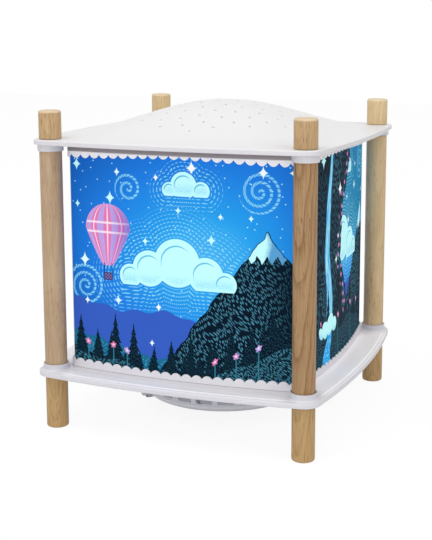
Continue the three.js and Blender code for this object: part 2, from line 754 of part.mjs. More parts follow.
function makeHousing() {
  const top = TRAY_UNDERSIDE - SEAT_GAP;
  const inside = HOUSING_RADIUS - HOUSING_WALL;
  const edge = HOUSING_RADIUS - HOUSING_EDGE_RADIUS;
  const edgeSteps = [0, 1, 2].map((i) => i * QUARTER_TURN / 2);
  const outerEdge = edgeSteps.map((a) => [
    edge + HOUSING_EDGE_RADIUS * Math.sin(a),
    HOUSING_FLOOR_HEIGHT + HOUSING_EDGE_RADIUS * (1 - Math.cos(a)),
  ]);
  const innerRadius = HOUSING_EDGE_RADIUS - HOUSING_WALL;
  const innerEdge = edgeSteps.map((a) => [
    edge + innerRadius * Math.sin(a),
    FLOOR_TOP + innerRadius * (1 - Math.cos(a)),
  ]).reverse();
  const bowl = turned([
    [0, HOUSING_FLOOR_HEIGHT],
    ...outerEdge,
    [HOUSING_RADIUS, top],
    [inside, top],
    ...innerEdge,
    [0, FLOOR_TOP],
  ], SLOT_COUNT);
  const floorJoin = HOUSING_WALL / 2;
  const bosses = bossPlaces().map(([x, y]) =>
    place(disc(BOSS_RADIUS, FLOOR_TOP - floorJoin, top, SMALL_STEPS), x, y));
  const standoffs = boardHolePlaces().map(([x, y]) =>
    place(disc(STANDOFF_RADIUS, FLOOR_TOP - floorJoin, boardBottom(), STUD_STEPS), x, y));
  const buttonBoss = alongRay(
    disc(BUTTON_RADIUS + RUNNING_GAP + BUTTON_BOSS_WALL, BUTTON_BOSS_INNER,
      HOUSING_RADIUS + BUTTON_BOSS_PROUD, SMALL_STEPS), BUTTON_ANGLE, BUTTON_HEIGHT);
  const slotWidth = 2 * Math.PI * HOUSING_RADIUS / SLOT_COUNT - SLOT_RIB_WIDTH;
  const slots = slotAngles().map((angle) => {
    const slot = block(HOUSING_WALL + 2 * CUT_OVERRUN, slotWidth,
      SLOT_BOTTOM_HEIGHT, SLOT_BOTTOM_HEIGHT + SLOT_HEIGHT);
    return slot.translate(HOUSING_RADIUS - HOUSING_WALL / 2, 0, 0).rotateZ(radians(angle));
  });
  const screwHoles = bossPlaces().flatMap(([x, y]) => [
    place(disc(SCREW_RADIUS + SCREW_CLEARANCE, HOUSING_FLOOR_HEIGHT - CUT_OVERRUN,
      top + CUT_OVERRUN, STUD_STEPS), x, y),
    place(disc(SCREW_HEAD_RADIUS + SCREW_CLEARANCE, HOUSING_FLOOR_HEIGHT - CUT_OVERRUN,
      headSeat(), SMALL_STEPS), x, y),
  ]);
  const buttonBore = alongRay(
    disc(BUTTON_RADIUS + RUNNING_GAP, inside - HOUSING_EDGE_RADIUS,
      HOUSING_RADIUS + BUTTON_BOSS_PROUD + CUT_OVERRUN, SMALL_STEPS),
    BUTTON_ANGLE, BUTTON_HEIGHT);
  const inletHole = alongRay(
    disc(INLET_BARREL_RADIUS + SEAT_GAP, inside - HOUSING_EDGE_RADIUS,
      HOUSING_RADIUS + CUT_OVERRUN, SMALL_STEPS), 90, INLET_HEIGHT);
  return shaped(bowl, [...bosses, ...standoffs, buttonBoss],
    [...slots, ...screwHoles, buttonBore, inletHole]);
}

function headSeat() {
  return FLOOR_TOP + SCREW_HEAD_HEIGHT;
}

function screw(tip, underHead) {
  return turned([
    [0, underHead - SCREW_HEAD_HEIGHT],
    [SCREW_HEAD_RADIUS, underHead - SCREW_HEAD_HEIGHT],
    [SCREW_HEAD_RADIUS, underHead],
    [SCREW_RADIUS, underHead],
    [SCREW_RADIUS, tip - SCREW_RADIUS],
    [0, tip],
  ], STUD_STEPS);
}

// A column screw points down, so its head is on top
function screwDown(tip, underHead) {
  return turned([
    [0, tip],
    [SCREW_RADIUS, tip + SCREW_RADIUS],
    [SCREW_RADIUS, underHead],
    [SCREW_HEAD_RADIUS, underHead],
    [SCREW_HEAD_RADIUS, underHead + SCREW_HEAD_HEIGHT],
    [0, underHead + SCREW_HEAD_HEIGHT],
  ], STUD_STEPS);
}

// Control board and what stands on it
function boardBottom() {
  return FLOOR_TOP + STANDOFF_HEIGHT;
}

const BOARD_BOTTOM = FLOOR_TOP + STANDOFF_HEIGHT + SEAT_GAP;
const BOARD_TOP = BOARD_BOTTOM + BOARD_THICKNESS;

function boardHolePlaces() {
  const reachX = BOARD_WIDTH / 2 - STANDOFF_RADIUS;
  const reachY = BOARD_LENGTH / 2 - STANDOFF_RADIUS;
  return [[-reachX, reachY], [reachX, -reachY], [reachX, reachY]].map(([x, y]) =>
    [BOARD_CENTRE_X + x, BOARD_CENTRE_Y + y]);
}

function makeBoard() {
  const board = place(block(BOARD_WIDTH, BOARD_LENGTH, BOARD_BOTTOM, BOARD_TOP),
    BOARD_CENTRE_X, BOARD_CENTRE_Y);
  // A tongue runs out to the button's side, where the switch stands
  const tongueLength = SWITCH_FACE - BOARD_TONGUE_ROOT;
  const tongue = block(tongueLength, BOARD_TONGUE_WIDTH, BOARD_BOTTOM, BOARD_TOP)
    .translate(BOARD_TONGUE_ROOT + tongueLength / 2, 0, 0)
    .rotateZ(radians(BUTTON_ANGLE));
  return shaped(board, [tongue]);
}

// Along the button's ray, from the outside in: cap, flange, stem, switch
const BUTTON_FACE = HOUSING_RADIUS + BUTTON_BOSS_PROUD + BUTTON_PROUD;
const BUTTON_BOSS_INNER = HOUSING_RADIUS - HOUSING_EDGE_RADIUS + HOUSING_WALL;
const FLANGE_OUTER = BUTTON_BOSS_INNER - RUNNING_GAP;
const FLANGE_INNER = FLANGE_OUTER - BUTTON_FLANGE_THICKNESS;
const STEM_END = FLANGE_INNER - BUTTON_TRAVEL;
const SWITCH_FACE = STEM_END - BUTTON_TRAVEL - RUNNING_GAP - SWITCH_TIP_LENGTH;
const SWITCH_BACK = SWITCH_FACE - SWITCH_THICKNESS;

function makeButton() {
  const profile = [
    [0, STEM_END],
    [BUTTON_STEM_RADIUS, STEM_END],
    [BUTTON_STEM_RADIUS, FLANGE_INNER],
    [BUTTON_RADIUS, FLANGE_INNER],
    [BUTTON_RADIUS, BUTTON_FACE - BUTTON_CROWN],
    [BUTTON_RADIUS - BUTTON_CROWN, BUTTON_FACE - BUTTON_CROWN / 3],
    [BUTTON_RADIUS / 2, BUTTON_FACE],
    [0, BUTTON_FACE],
  ];
  const cap = alongRay(turned(profile, SMALL_STEPS), BUTTON_ANGLE, BUTTON_HEIGHT);
  const ears = block(BUTTON_FLANGE_THICKNESS, BUTTON_FLANGE_WIDTH,
    BUTTON_HEIGHT - BUTTON_FLANGE_HEIGHT / 2, BUTTON_HEIGHT + BUTTON_FLANGE_HEIGHT / 2)
    .translate((FLANGE_OUTER + FLANGE_INNER) / 2, 0, 0)
    .rotateZ(radians(BUTTON_ANGLE));
  return shaped(cap, [ears]);
}

function makeSwitch() {
  const bottom = BOARD_TOP + SEAT_GAP;
  const top = BUTTON_HEIGHT + SWITCH_SIZE / 2;
  const body = block(SWITCH_THICKNESS, SWITCH_SIZE, bottom, top)
    .translate((SWITCH_FACE + SWITCH_BACK) / 2, 0, 0)
    .rotateZ(radians(BUTTON_ANGLE));
  const tip = alongRay(
    disc(SWITCH_TIP_RADIUS, SWITCH_FACE - SWITCH_THICKNESS / 2, SWITCH_FACE + SWITCH_TIP_LENGTH,
      STUD_STEPS), BUTTON_ANGLE, BUTTON_HEIGHT);
  return shaped(body, [tip]);
}

// Power inlet: a round socket held in the wall by a nut on the inside
const INLET_FACE = HOUSING_RADIUS + SEAT_GAP + INLET_FLANGE_THICKNESS;

function makeInlet() {
  const back = INLET_FACE - INLET_LENGTH;
  const barrel = turned([
    [0, back],
    [INLET_BARREL_RADIUS, back],
    [INLET_BARREL_RADIUS, INLET_FACE - INLET_FLANGE_THICKNESS],
    [INLET_FLANGE_RADIUS, INLET_FACE - INLET_FLANGE_THICKNESS],
    [INLET_FLANGE_RADIUS, INLET_FACE],
    [INLET_BORE_RADIUS, INLET_FACE],
    [INLET_BORE_RADIUS, INLET_FACE - INLET_BORE_DEPTH],
    [INLET_PIN_RADIUS, INLET_FACE - INLET_BORE_DEPTH],
    [INLET_PIN_RADIUS, INLET_FACE - INLET_FLAT_DEPTH],
    [0, INLET_FACE - INLET_FLAT_DEPTH],
  ], SMALL_STEPS);
  return alongRay(barrel, 90, INLET_HEIGHT);
}

function makeInletNut() {
  const fall = INLET_NUT_WIDTH / 2 * Math.tan(Math.PI / SLOT_COUNT);
  const face = HOUSING_RADIUS - HOUSING_WALL - fall - SEAT_GAP;
  const nut = disc(INLET_NUT_WIDTH / 2, face - INLET_NUT_THICKNESS, face, NUT_SIDES);
  const bore = disc(INLET_BARREL_RADIUS + SEAT_GAP, face - INLET_NUT_THICKNESS - CUT_OVERRUN,
    face + CUT_OVERRUN, SMALL_STEPS);
  return alongRay(shaped(nut, [], [bore]), 90, INLET_HEIGHT);
}

// Gear motor hung under the tray, its shaft outwards
const MOTOR_X = SHAFT_X - MOTOR_SHAFT_OFFSET;
const MOTOR_TOP = TRAY_UNDERSIDE - SEAT_GAP;

function motorScrewPlaces() {
  return [[MOTOR_X, MOTOR_EAR_SPACING / 2], [MOTOR_X, -MOTOR_EAR_SPACING / 2]];
}

function makeMotor() {
  const can = place(disc(MOTOR_RADIUS, MOTOR_TOP - MOTOR_HEIGHT, MOTOR_TOP, ROUND_STEPS),
    MOTOR_X, 0);
  const nose = place(disc(MOTOR_NOSE_RADIUS, MOTOR_TOP - MOTOR_EAR_THICKNESS,
    MOTOR_TOP + MOTOR_NOSE_HEIGHT, SMALL_STEPS), SHAFT_X, 0);
  const strap = place(block(2 * MOTOR_EAR_RADIUS, MOTOR_EAR_SPACING,
    MOTOR_TOP - MOTOR_EAR_THICKNESS, MOTOR_TOP), MOTOR_X, 0);
  const ears = motorScrewPlaces().map(([x, y]) =>
    place(disc(MOTOR_EAR_RADIUS, MOTOR_TOP - MOTOR_EAR_THICKNESS, MOTOR_TOP, SMALL_STEPS), x, y));
  const holes = motorScrewPlaces().map(([x, y]) =>
    place(disc(SCREW_RADIUS + SCREW_CLEARANCE, MOTOR_TOP - MOTOR_HEIGHT, MOTOR_TOP + CUT_OVERRUN,
      STUD_STEPS), x, y));
  const bore = place(disc(MOTOR_SHAFT_RADIUS + RUNNING_GAP, SHAFT_BOTTOM - RUNNING_GAP,
    MOTOR_TOP + MOTOR_NOSE_HEIGHT + CUT_OVERRUN, SMALL_STEPS), SHAFT_X, 0);
  return shaped(can, [nose, strap, ...ears], [...holes, bore]);
}

const SHAFT_BOTTOM = MOTOR_TOP - MOTOR_HEIGHT / 3;
const SHAFT_TOP = GEAR_TOP - RUNNING_GAP;

// Involute spur gear outline with BACKLASH shared by its two flanks
function gearShape(teeth, flankSteps, phase, boreRadius) {
  const pitch = GEAR_MODULE * teeth / 2;
  const base = pitch * Math.cos(radians(PRESSURE_ANGLE));
  const tip = pitch + GEAR_MODULE * ADDENDUM_SHARE;
  const root = pitch - GEAR_MODULE * DEDENDUM_SHARE;
  const start = Math.max(base, root);
  const involute = (radius) => {
    const tangent = Math.sqrt(Math.max((radius / base) ** 2 - 1, 0));
    return tangent - Math.atan(tangent);
  };
  const halfTooth = (Math.PI * GEAR_MODULE / 2 - BACKLASH / 2) / 2 / pitch + involute(pitch);
  const flank = [];
  if (root < base) flank.push([root, halfTooth]);
  for (let i = 0; i <= flankSteps; i += 1) {
    const radius = start + (tip - start) * i / flankSteps;
    flank.push([radius, halfTooth - involute(radius)]);
  }
  const shape = new THREE.Shape();
  for (let t = 0; t < teeth; t += 1) {
    const middle = phase + t * 2 * Math.PI / teeth;
    const rising = flank.map(([radius, half]) => [radius, middle - half]);
    const falling = flank.map(([radius, half]) => [radius, middle + half]).reverse();
    [...rising, ...falling].forEach(([radius, angle], k) => {
      const method = t === 0 && k === 0 ? 'moveTo' : 'lineTo';
      shape[method](radius * Math.cos(angle), radius * Math.sin(angle));
    });
  }
  const bore = new THREE.Path();
  bore.absarc(0, 0, boreRadius, 0, 2 * Math.PI, true);
  shape.holes.push(bore);
  return shape;
}

function makePinion() {
  // Half a tooth of turn, so that a gap faces the drum gear's tooth
  const phase = Math.PI + Math.PI / PINION_TEETH;
  const outline = gearShape(PINION_TEETH, 2, phase, MOTOR_SHAFT_RADIUS + SEAT_GAP);
  return place(extruded(outline, GEAR_BOTTOM, GEAR_TOP - RUNNING_GAP), SHAFT_X, 0);
}

function makeShaft() {
  return place(disc(MOTOR_SHAFT_RADIUS, SHAFT_BOTTOM, SHAFT_TOP, SMALL_STEPS), SHAFT_X, 0);
}

// Turntable: gear, hub, spokes and the rim that carries the drum film
const HUB_BORE_RADIUS = COLUMN_RADIUS + RUNNING_GAP;
const HUB_RADIUS = HUB_BORE_RADIUS + HUB_WALL;
const FILM_INNER = DRUM_RADIUS - DRUM_FILM_THICKNESS;
const LIP_OUTER = FILM_INNER - SEAT_GAP;
const RIM_TOP = SPOKE_TOP;
const RIM_BOTTOM = RIM_TOP - TURNTABLE_RIM_HEIGHT;
const FILM_BOTTOM = RIM_TOP + SEAT_GAP;
const FILM_TOP = COVER_BOTTOM - DRUM_TOP_CLEARANCE;

function makeTurntable() {
  const outline = gearShape(DRUM_TEETH, 1, 0, HUB_BORE_RADIUS);
  const gear = extruded(outline, GEAR_BOTTOM, GEAR_TOP, SMALL_STEPS);
  const hub = ring(HUB_BORE_RADIUS, HUB_RADIUS, GEAR_BOTTOM, HUB_TOP, ROUND_STEPS);
  const lipInner = LIP_OUTER - TURNTABLE_LIP_WALL;
  const rimOuter = lipInner + TURNTABLE_RIM_WIDTH;
  const rim = turned([
    [lipInner, RIM_BOTTOM],
    [rimOuter, RIM_BOTTOM],
    [rimOuter, RIM_TOP],
    [LIP_OUTER, RIM_TOP],
    [LIP_OUTER, RIM_TOP + TURNTABLE_LIP_HEIGHT],
    [lipInner, RIM_TOP + TURNTABLE_LIP_HEIGHT],
    [lipInner, RIM_BOTTOM],
  ], FINE_STEPS);
  const inner = HUB_RADIUS - HUB_WALL / 2;
  const outer = lipInner + TURNTABLE_LIP_WALL / 2;
  const spokes = Array.from({ length: SPOKE_COUNT }, (unused, i) => {
    const spoke = block(outer - inner, SPOKE_WIDTH, GEAR_TOP - SPOKE_THICKNESS / 8, SPOKE_TOP);
    const turn = (i + 0.5) * 2 * Math.PI / SPOKE_COUNT;
    return spoke.translate((outer + inner) / 2, 0, 0).rotateZ(turn);
  });
  return shaped(gear, [hub, rim, ...spokes]);
}

function makeFilm() {
  return ring(FILM_INNER, DRUM_RADIUS, FILM_BOTTOM, FILM_TOP, FINE_STEPS);
}

function makeHoop() {
  const lipInner = LIP_OUTER - HOOP_LIP_WALL;
  const capBottom = FILM_TOP + SEAT_GAP;
  return turned([
    [lipInner, capBottom - HOOP_LIP_HEIGHT],
    [LIP_OUTER, capBottom - HOOP_LIP_HEIGHT],
    [LIP_OUTER, capBottom],
    [DRUM_RADIUS, capBottom],
    [DRUM_RADIUS, capBottom + HOOP_CAP_THICKNESS],
    [lipInner, capBottom + HOOP_CAP_THICKNESS],
    [lipInner, capBottom - HOOP_LIP_HEIGHT],
  ], FINE_STEPS);
}

// LED column
function columnScrewPlaces() {
  return [0, 1, 2].map((i) => {
    const angle = i * 2 * Math.PI / 3 + Math.PI;
    return [COLUMN_SCREW_CIRCLE * Math.cos(angle), COLUMN_SCREW_CIRCLE * Math.sin(angle)];
  });
}

function makeColumn() {
  const headBottom = COLUMN_TOP - COLUMN_HEAD_THICKNESS;
  const column = turned([
    [COLUMN_BORE_RADIUS, FLANGE_BOTTOM],
    [COLUMN_FLANGE_RADIUS, FLANGE_BOTTOM],
    [COLUMN_FLANGE_RADIUS, FLANGE_TOP],
    [COLUMN_RADIUS, FLANGE_TOP],
    [COLUMN_RADIUS, headBottom - COLUMN_HEAD_FLARE],
    [COLUMN_HEAD_RADIUS, headBottom],
    [COLUMN_HEAD_RADIUS, COLUMN_TOP],
    [COLUMN_BORE_RADIUS, COLUMN_TOP],
    [COLUMN_BORE_RADIUS, FLANGE_BOTTOM],
  ], ROUND_STEPS);
  const sink = FLANGE_TOP - SCREW_HEAD_HEIGHT - SEAT_GAP;
  const holes = columnScrewPlaces().flatMap(([x, y]) => [
    place(disc(SCREW_RADIUS + SCREW_CLEARANCE, FLANGE_BOTTOM - CUT_OVERRUN,
      FLANGE_TOP + CUT_OVERRUN, STUD_STEPS), x, y),
    place(disc(SCREW_HEAD_RADIUS + SCREW_CLEARANCE, sink, FLANGE_TOP + CUT_OVERRUN,
      STUD_STEPS), x, y),
  ]);
  return shaped(column, [], holes);
}

const LED_BOARD_BOTTOM = COLUMN_TOP + SEAT_GAP;
const LED_BOARD_TOP = LED_BOARD_BOTTOM + BOARD_THICKNESS;

function makeDiffuser() {
  const low = LED_BOARD_BOTTOM;
  const inner = DIFFUSER_RADIUS - DIFFUSER_WALL;
  const neck = COLUMN_HEAD_RADIUS - SEAT_GAP;
  const crown = low + DIFFUSER_HEIGHT;
  const bulb = (radius) => {
    const points = [];
    const centre = crown - DIFFUSER_RADIUS;
    for (let i = 0; i <= 4; i += 1) {
      const angle = i * QUARTER_TURN / 4;
      points.push([radius * Math.cos(angle), centre + radius * Math.sin(angle)]);
    }
    return points;
  };
  return turned([
    [neck - DIFFUSER_WALL, low],
    [neck, low],
    [DIFFUSER_RADIUS, low + DIFFUSER_NECK_HEIGHT],
    ...bulb(DIFFUSER_RADIUS),
    ...bulb(inner).reverse(),
    [inner, low + DIFFUSER_NECK_HEIGHT],
    [neck - DIFFUSER_WALL, low],
  ], SMALL_STEPS);
}

// Leads: a round section along a smooth path through the points
function wire(points) {
  const path = new THREE.CatmullRomCurve3(points.map((p) => new THREE.Vector3(...p)));
  const section = new THREE.Shape();
  section.absarc(0, 0, LEAD_RADIUS, 0, 2 * Math.PI);
  const options = {
    steps: LEAD_STEPS_PER_SPAN * (points.length - 1),
    curveSegments: LEAD_SIDES_HALVED,
    extrudePath: path,
  };
  return closed(new THREE.ExtrudeGeometry(section, options));
}

// The last points of a lead that comes down square onto the board
function ontoBoard(y) {
  const end = BOARD_TOP + SEAT_GAP;
  return [[LEAD_END_X, y, end + LEAD_DROP], [LEAD_END_X, y, end]];
}

function makePowerLead() {
  const start = INLET_FACE - INLET_LENGTH - SEAT_GAP;
  return wire([
    [0, start, INLET_HEIGHT],
    [0, start - LEAD_DROP, INLET_HEIGHT],
    [LEAD_END_X / 2, (start + POWER_LEAD_END_Y) / 2, INLET_HEIGHT],
    ...ontoBoard(POWER_LEAD_END_Y),
  ]);
}

function makeMotorLead() {
  const start = MOTOR_TOP - MOTOR_HEIGHT - SEAT_GAP;
  return wire([
    [MOTOR_LEAD_X, MOTOR_LEAD_Y, start],
    [MOTOR_LEAD_X, MOTOR_LEAD_Y, start - LEAD_DROP / 2],
    [MOTOR_LEAD_X / 2, MOTOR_LEAD_Y, start - LEAD_DROP],
    [LEAD_END_X / 2, MOTOR_LEAD_Y, start + LEAD_RADIUS],
    ...ontoBoard(MOTOR_LEAD_Y),
  ]);
}

function makeLedLead() {
  const start = LED_BOARD_BOTTOM - SEAT_GAP;
  return wire([
    [0, 0, start],
    [0, 0, FLANGE_TOP],
    [0, 0, TRAY_UNDERSIDE - LEAD_DROP],
    [LEAD_END_X / 2, LED_LEAD_END_Y / 2, (TRAY_UNDERSIDE + BOARD_TOP) / 2],
    ...ontoBoard(LED_LEAD_END_Y),
  ]);
}

function build() {
  makePosts();
  addPart('top_cover', makeCover(), whitePlastic);
  addPart('upper_scallop_frame', makeUpperEdging(), whitePlastic);
  addPart('shade_sheet', makeSheet(), printedSheet);
  addPart('lower_scallop_frame', makeLowerEdging(), whitePlastic);
  addPart('base_tray', makeTray(), trayPlastic);
  addPart('base_housing', makeHousing(), housingPlastic);
  bossPlaces().forEach(([x, y], i) => {
    const tip = TRAY_TOP - SEAT_GAP;
    addPart(`housing_screw_${i + 1}`, place(screw(tip, headSeat() - SEAT_GAP), x, y), steel);
  });
  addPart('power_button', makeButton(), buttonPlastic);
  addPart('tact_switch', makeSwitch(), darkPlastic);
  addPart('power_inlet', makeInlet(), darkPlastic);
  addPart('inlet_nut', makeInletNut(), steel);
  addPart('control_board', makeBoard(), boardGreen);
  addPart('driver_chip', place(block(CHIP_SIZE, CHIP_SIZE, BOARD_TOP + SEAT_GAP,
    BOARD_TOP + SEAT_GAP + CHIP_THICKNESS), BOARD_CENTRE_X, BOARD_CENTRE_Y), darkPlastic);
  addPart('capacitor', place(disc(CAPACITOR_RADIUS, BOARD_TOP + SEAT_GAP,
    BOARD_TOP + SEAT_GAP + CAPACITOR_LENGTH, SMALL_STEPS), BOARD_CENTRE_X,
  BOARD_CENTRE_Y + CAPACITOR_OFFSET), darkPlastic);
  addPart('power_lead', makePowerLead(), wireWhite);
  addPart('motor_lead', makeMotorLead(), wireWhite);
  addPart('led_lead', makeLedLead(), wireWhite);
  addPart('gear_motor', makeMotor(), steel);
  addPart('motor_shaft', makeShaft(), steel);
  addPart('drive_pinion', makePinion(), nylon);
  motorScrewPlaces().forEach(([x, y], i) => {
    const seat = MOTOR_TOP - MOTOR_EAR_THICKNESS - SEAT_GAP;
    addPart(`motor_screw_${i + 1}`, place(screw(TRAY_TOP - SEAT_GAP, seat), x, y), steel);
  });
  addPart('lamp_column', makeColumn(), whitePlastic);
  columnScrewPlaces().forEach(([x, y], i) => {
    const seat = FLANGE_TOP - SCREW_HEAD_HEIGHT;
    addPart(`column_screw_${i + 1}`, place(
      screwDown(TRAY_UNDERSIDE - SCREW_BITE, seat), x, y), steel);
  });
  addPart('led_board', disc(LED_BOARD_RADIUS - 2 * DIFFUSER_WALL, LED_BOARD_BOTTOM,
    LED_BOARD_TOP, ROUND_STEPS), whitePlastic);
  for (let i = 0; i < SIDE_LED_COUNT; i += 1) {
    const angle = i * 2 * Math.PI / SIDE_LED_COUNT;
    const led = block(LED_SIZE, LED_SIZE, LED_BOARD_TOP + SEAT_GAP,
      LED_BOARD_TOP + SEAT_GAP + LED_THICKNESS);
    addPart(`led_${i + 1}`, led.translate(LED_CIRCLE_RADIUS, 0, 0).rotateZ(angle), ledYellow);
  }
  const dome = LED_BOARD_TOP + SEAT_GAP;
  addPart('led_top', turned([
    [0, dome],
    [TOP_LED_RADIUS, dome],
    [TOP_LED_RADIUS, dome + TOP_LED_HEIGHT - TOP_LED_RADIUS],
    [TOP_LED_RADIUS * Math.SQRT1_2, dome + TOP_LED_HEIGHT - TOP_LED_RADIUS / 3],
    [0, dome + TOP_LED_HEIGHT],
  ], SMALL_STEPS), clearPlastic);
  addPart('light_diffuser', makeDiffuser(), clearPlastic);
  addPart('thrust_washer', ring(HUB_BORE_RADIUS, HUB_BORE_RADIUS + WASHER_WIDTH, WASHER_BOTTOM,
    WASHER_BOTTOM + WASHER_THICKNESS, ROUND_STEPS), nylon);
  addPart('turntable', makeTurntable(), nylon);
  addPart('drum_film', makeFilm(), drumFilm);
  addPart('drum_hoop', makeHoop(), nylon);
  addPart('retaining_ring', ring(HUB_BORE_RADIUS, HUB_RADIUS, HUB_TOP + RUNNING_GAP,
    HUB_TOP + RUNNING_GAP + RING_THICKNESS, ROUND_STEPS), steel);
}

build();

export default lamp;
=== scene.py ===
import functools
import json
import math

import bmesh
import bpy
import numpy as np
from mathutils import Matrix, Vector


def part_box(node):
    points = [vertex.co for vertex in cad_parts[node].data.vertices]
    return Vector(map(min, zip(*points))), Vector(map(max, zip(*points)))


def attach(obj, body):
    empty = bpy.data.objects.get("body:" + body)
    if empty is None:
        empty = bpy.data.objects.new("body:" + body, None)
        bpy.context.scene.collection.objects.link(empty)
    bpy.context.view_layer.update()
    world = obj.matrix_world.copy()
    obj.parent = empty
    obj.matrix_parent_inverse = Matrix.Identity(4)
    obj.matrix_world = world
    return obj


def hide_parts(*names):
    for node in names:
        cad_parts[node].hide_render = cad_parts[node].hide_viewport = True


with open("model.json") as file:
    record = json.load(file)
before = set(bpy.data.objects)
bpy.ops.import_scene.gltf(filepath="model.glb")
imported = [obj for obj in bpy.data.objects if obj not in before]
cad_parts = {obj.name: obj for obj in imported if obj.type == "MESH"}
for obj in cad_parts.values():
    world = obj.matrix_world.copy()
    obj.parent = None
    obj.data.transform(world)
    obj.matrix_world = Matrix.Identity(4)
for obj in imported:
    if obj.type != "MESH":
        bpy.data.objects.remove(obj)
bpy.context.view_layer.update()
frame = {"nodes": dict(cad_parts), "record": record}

# Lengths are in millimetres, and become metres when a mesh is made.
MM = 0.001


def box_mm(node):
    """A CAD node's lowest and highest corner, in millimetres."""
    low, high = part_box(node)
    return np.array(low) / MM, np.array(high) / MM


# Places read from the frame
PILLAR_LOW, PILLAR_HIGH = box_mm("pillar_front_right")
HALF_SPACING = (PILLAR_LOW[0] + PILLAR_HIGH[0]) / 2
PILLAR_BOTTOM, PILLAR_TOP = PILLAR_LOW[2], PILLAR_HIGH[2]
FOOT_TOP = box_mm("foot_front_right")[1][2]
FINIAL_BOTTOM, FINIAL_TOP = (corner[2] for corner in box_mm("finial_front_right"))
SEAT_GAP = 0.3
TRAY_BOTTOM = box_mm("base_tray")[0][2]
TRAY_TOP = PILLAR_BOTTOM - SEAT_GAP
COVER_TOP = FINIAL_BOTTOM - SEAT_GAP
HOUSING_FLOOR, HOUSING_TOP = (corner[2] for corner in box_mm("base_housing"))
DOME_CROWN = box_mm("top_cover")[1][2]

# Posts
POST_RADIUS = 7.5
POST_ROUNDING = 1.5
PILLAR_ROUNDING = 0.35
# Band at each finial's top that gets a painted highlight
CREST_HIGHLIGHT_BAND = 1.8
STUD_HOLE_RADIUS = 2.7
STUD_HOLE_DEPTH = 12.3
HOLE_SIDES = 32

# Tray and cover
TRAY_WALL = 2.5
TRAY_LIP = 2.4
TRAY_CORNER = 11.5
TRAY_BULGE = 6.2
TRAY_STEP_INSET = 3.4
TRAY_STEP_DEPTH = 0.45
COLLAR_BORE = 7.8
COLLAR_RADIUS = 8.7
COLLAR_HEIGHT = 4.0
COLLAR_FLARE = 1.1
COLLAR_SINK = 0.1
COVER_EDGE = 3.3
COVER_BOTTOM = COVER_TOP - COVER_EDGE
COVER_WALL = 2.2
COVER_LIP = 2.2
COVER_CORNER = 11.0
COVER_BULGE = 5.0
COVER_COLLAR_DROP = 4.5
DOME_HEIGHT = DOME_CROWN - COVER_TOP
DOME_RINGS = 30
DOME_FOOT_REACH = 106.0
DOME_FULLNESS_SHARE = 0.9
DOME_SQUARENESS_SHARE = 3.0
STAR_COUNT = 96
STAR_RADIUS = 1.6
STAR_WAIST = 0.65
STAR_FIELD_INNER = 6.0
STAR_FIELD_OUTER = 72.0

# Shade and edgings
SHADE_HALF = 82.0
SHADE_CORNER = 6.0
SHADE_BULGE = 5.2
SHEET_THICKNESS = 0.8
SHEET_SIDE_STEPS = 40
SHEET_CORNER_STEPS = 10
EDGING_WALL = 1.1
EDGING_FLANGE = 4.0
EDGING_FLANGE_HEIGHT = 1.2
EDGING_ROUNDING = 0.3
EDGING_HOLD = 0.4
SCALLOPS_PER_SIDE = 21
SCALLOP_STEPS = 12
LOBE_ROUNDNESS = 2.2
LOWER_EDGING_HEIGHT = 6.6
LOWER_EDGING_SAG = 1.3
LOWER_SCALLOP_DEPTH = 2.2
UPPER_EDGING_HEIGHT = 9.4
UPPER_EDGING_ARCH = 2.1
UPPER_SCALLOP_DEPTH = 2.6
# How far over the upper edging's free edge the painted shadow band under the cover begins
SHADOW_BAND_CLEAR = 4.4

# Housing, button and inlet
HOUSING_RADIUS = 58.0
HOUSING_WALL = 2.0
HOUSING_INSIDE = HOUSING_RADIUS - HOUSING_WALL
HOUSING_ROUNDING = 6.7
OUTER_CURVE_SHARE = 1.17
INNER_CURVE_SHARE = 0.9
SLOT_COUNT = 24
SLOT_RIB = 3.3
SLOT_LOW = 15.8
SLOT_HIGH = 30.8
SLOT_ROUNDING = 1.0
HOUSING_SCREWS = 3
HOUSING_SIDES = 144
CUT_SPARE = 2.0
BUTTON_ANGLE = -135.0
BUTTON_HEIGHT = 16.8
BUTTON_RADIUS = 4.4
BUTTON_BORE = 4.7
BUTTON_BOSS_RADIUS = 6.0
BUTTON_BOSS_FACE = HOUSING_RADIUS + 2.6
BUTTON_FACE = BUTTON_BOSS_FACE + 3.6
BUTTON_CROWN = 0.9
BUTTON_DISH = 0.1
BUTTON_INNER = 51.8
BUTTON_END = BUTTON_INNER - 1.0
INLET_ANGLE = 90.0
INLET_LOW, INLET_HIGH = box_mm("power_inlet")
INLET_HEIGHT = (INLET_LOW[2] + INLET_HIGH[2]) / 2
INLET_BACK, INLET_FACE = INLET_LOW[1], INLET_HIGH[1]
INLET_RADIUS = 5.4
INLET_FLANGE_RADIUS = 7.0
INLET_FLANGE_BACK = INLET_FACE - 1.6
INLET_BORE = 3.3
INLET_BORE_END = INLET_FACE - 10.0
INLET_PIN_RADIUS = 0.9
INLET_PIN_TIP = INLET_FACE - 1.2

CORNERS = {
    "front_left": (-HALF_SPACING, -HALF_SPACING),
    "front_right": (HALF_SPACING, -HALF_SPACING),
    "back_right": (HALF_SPACING, HALF_SPACING),
    "back_left": (-HALF_SPACING, HALF_SPACING),
}


# Forms: points and quads as whole arrays

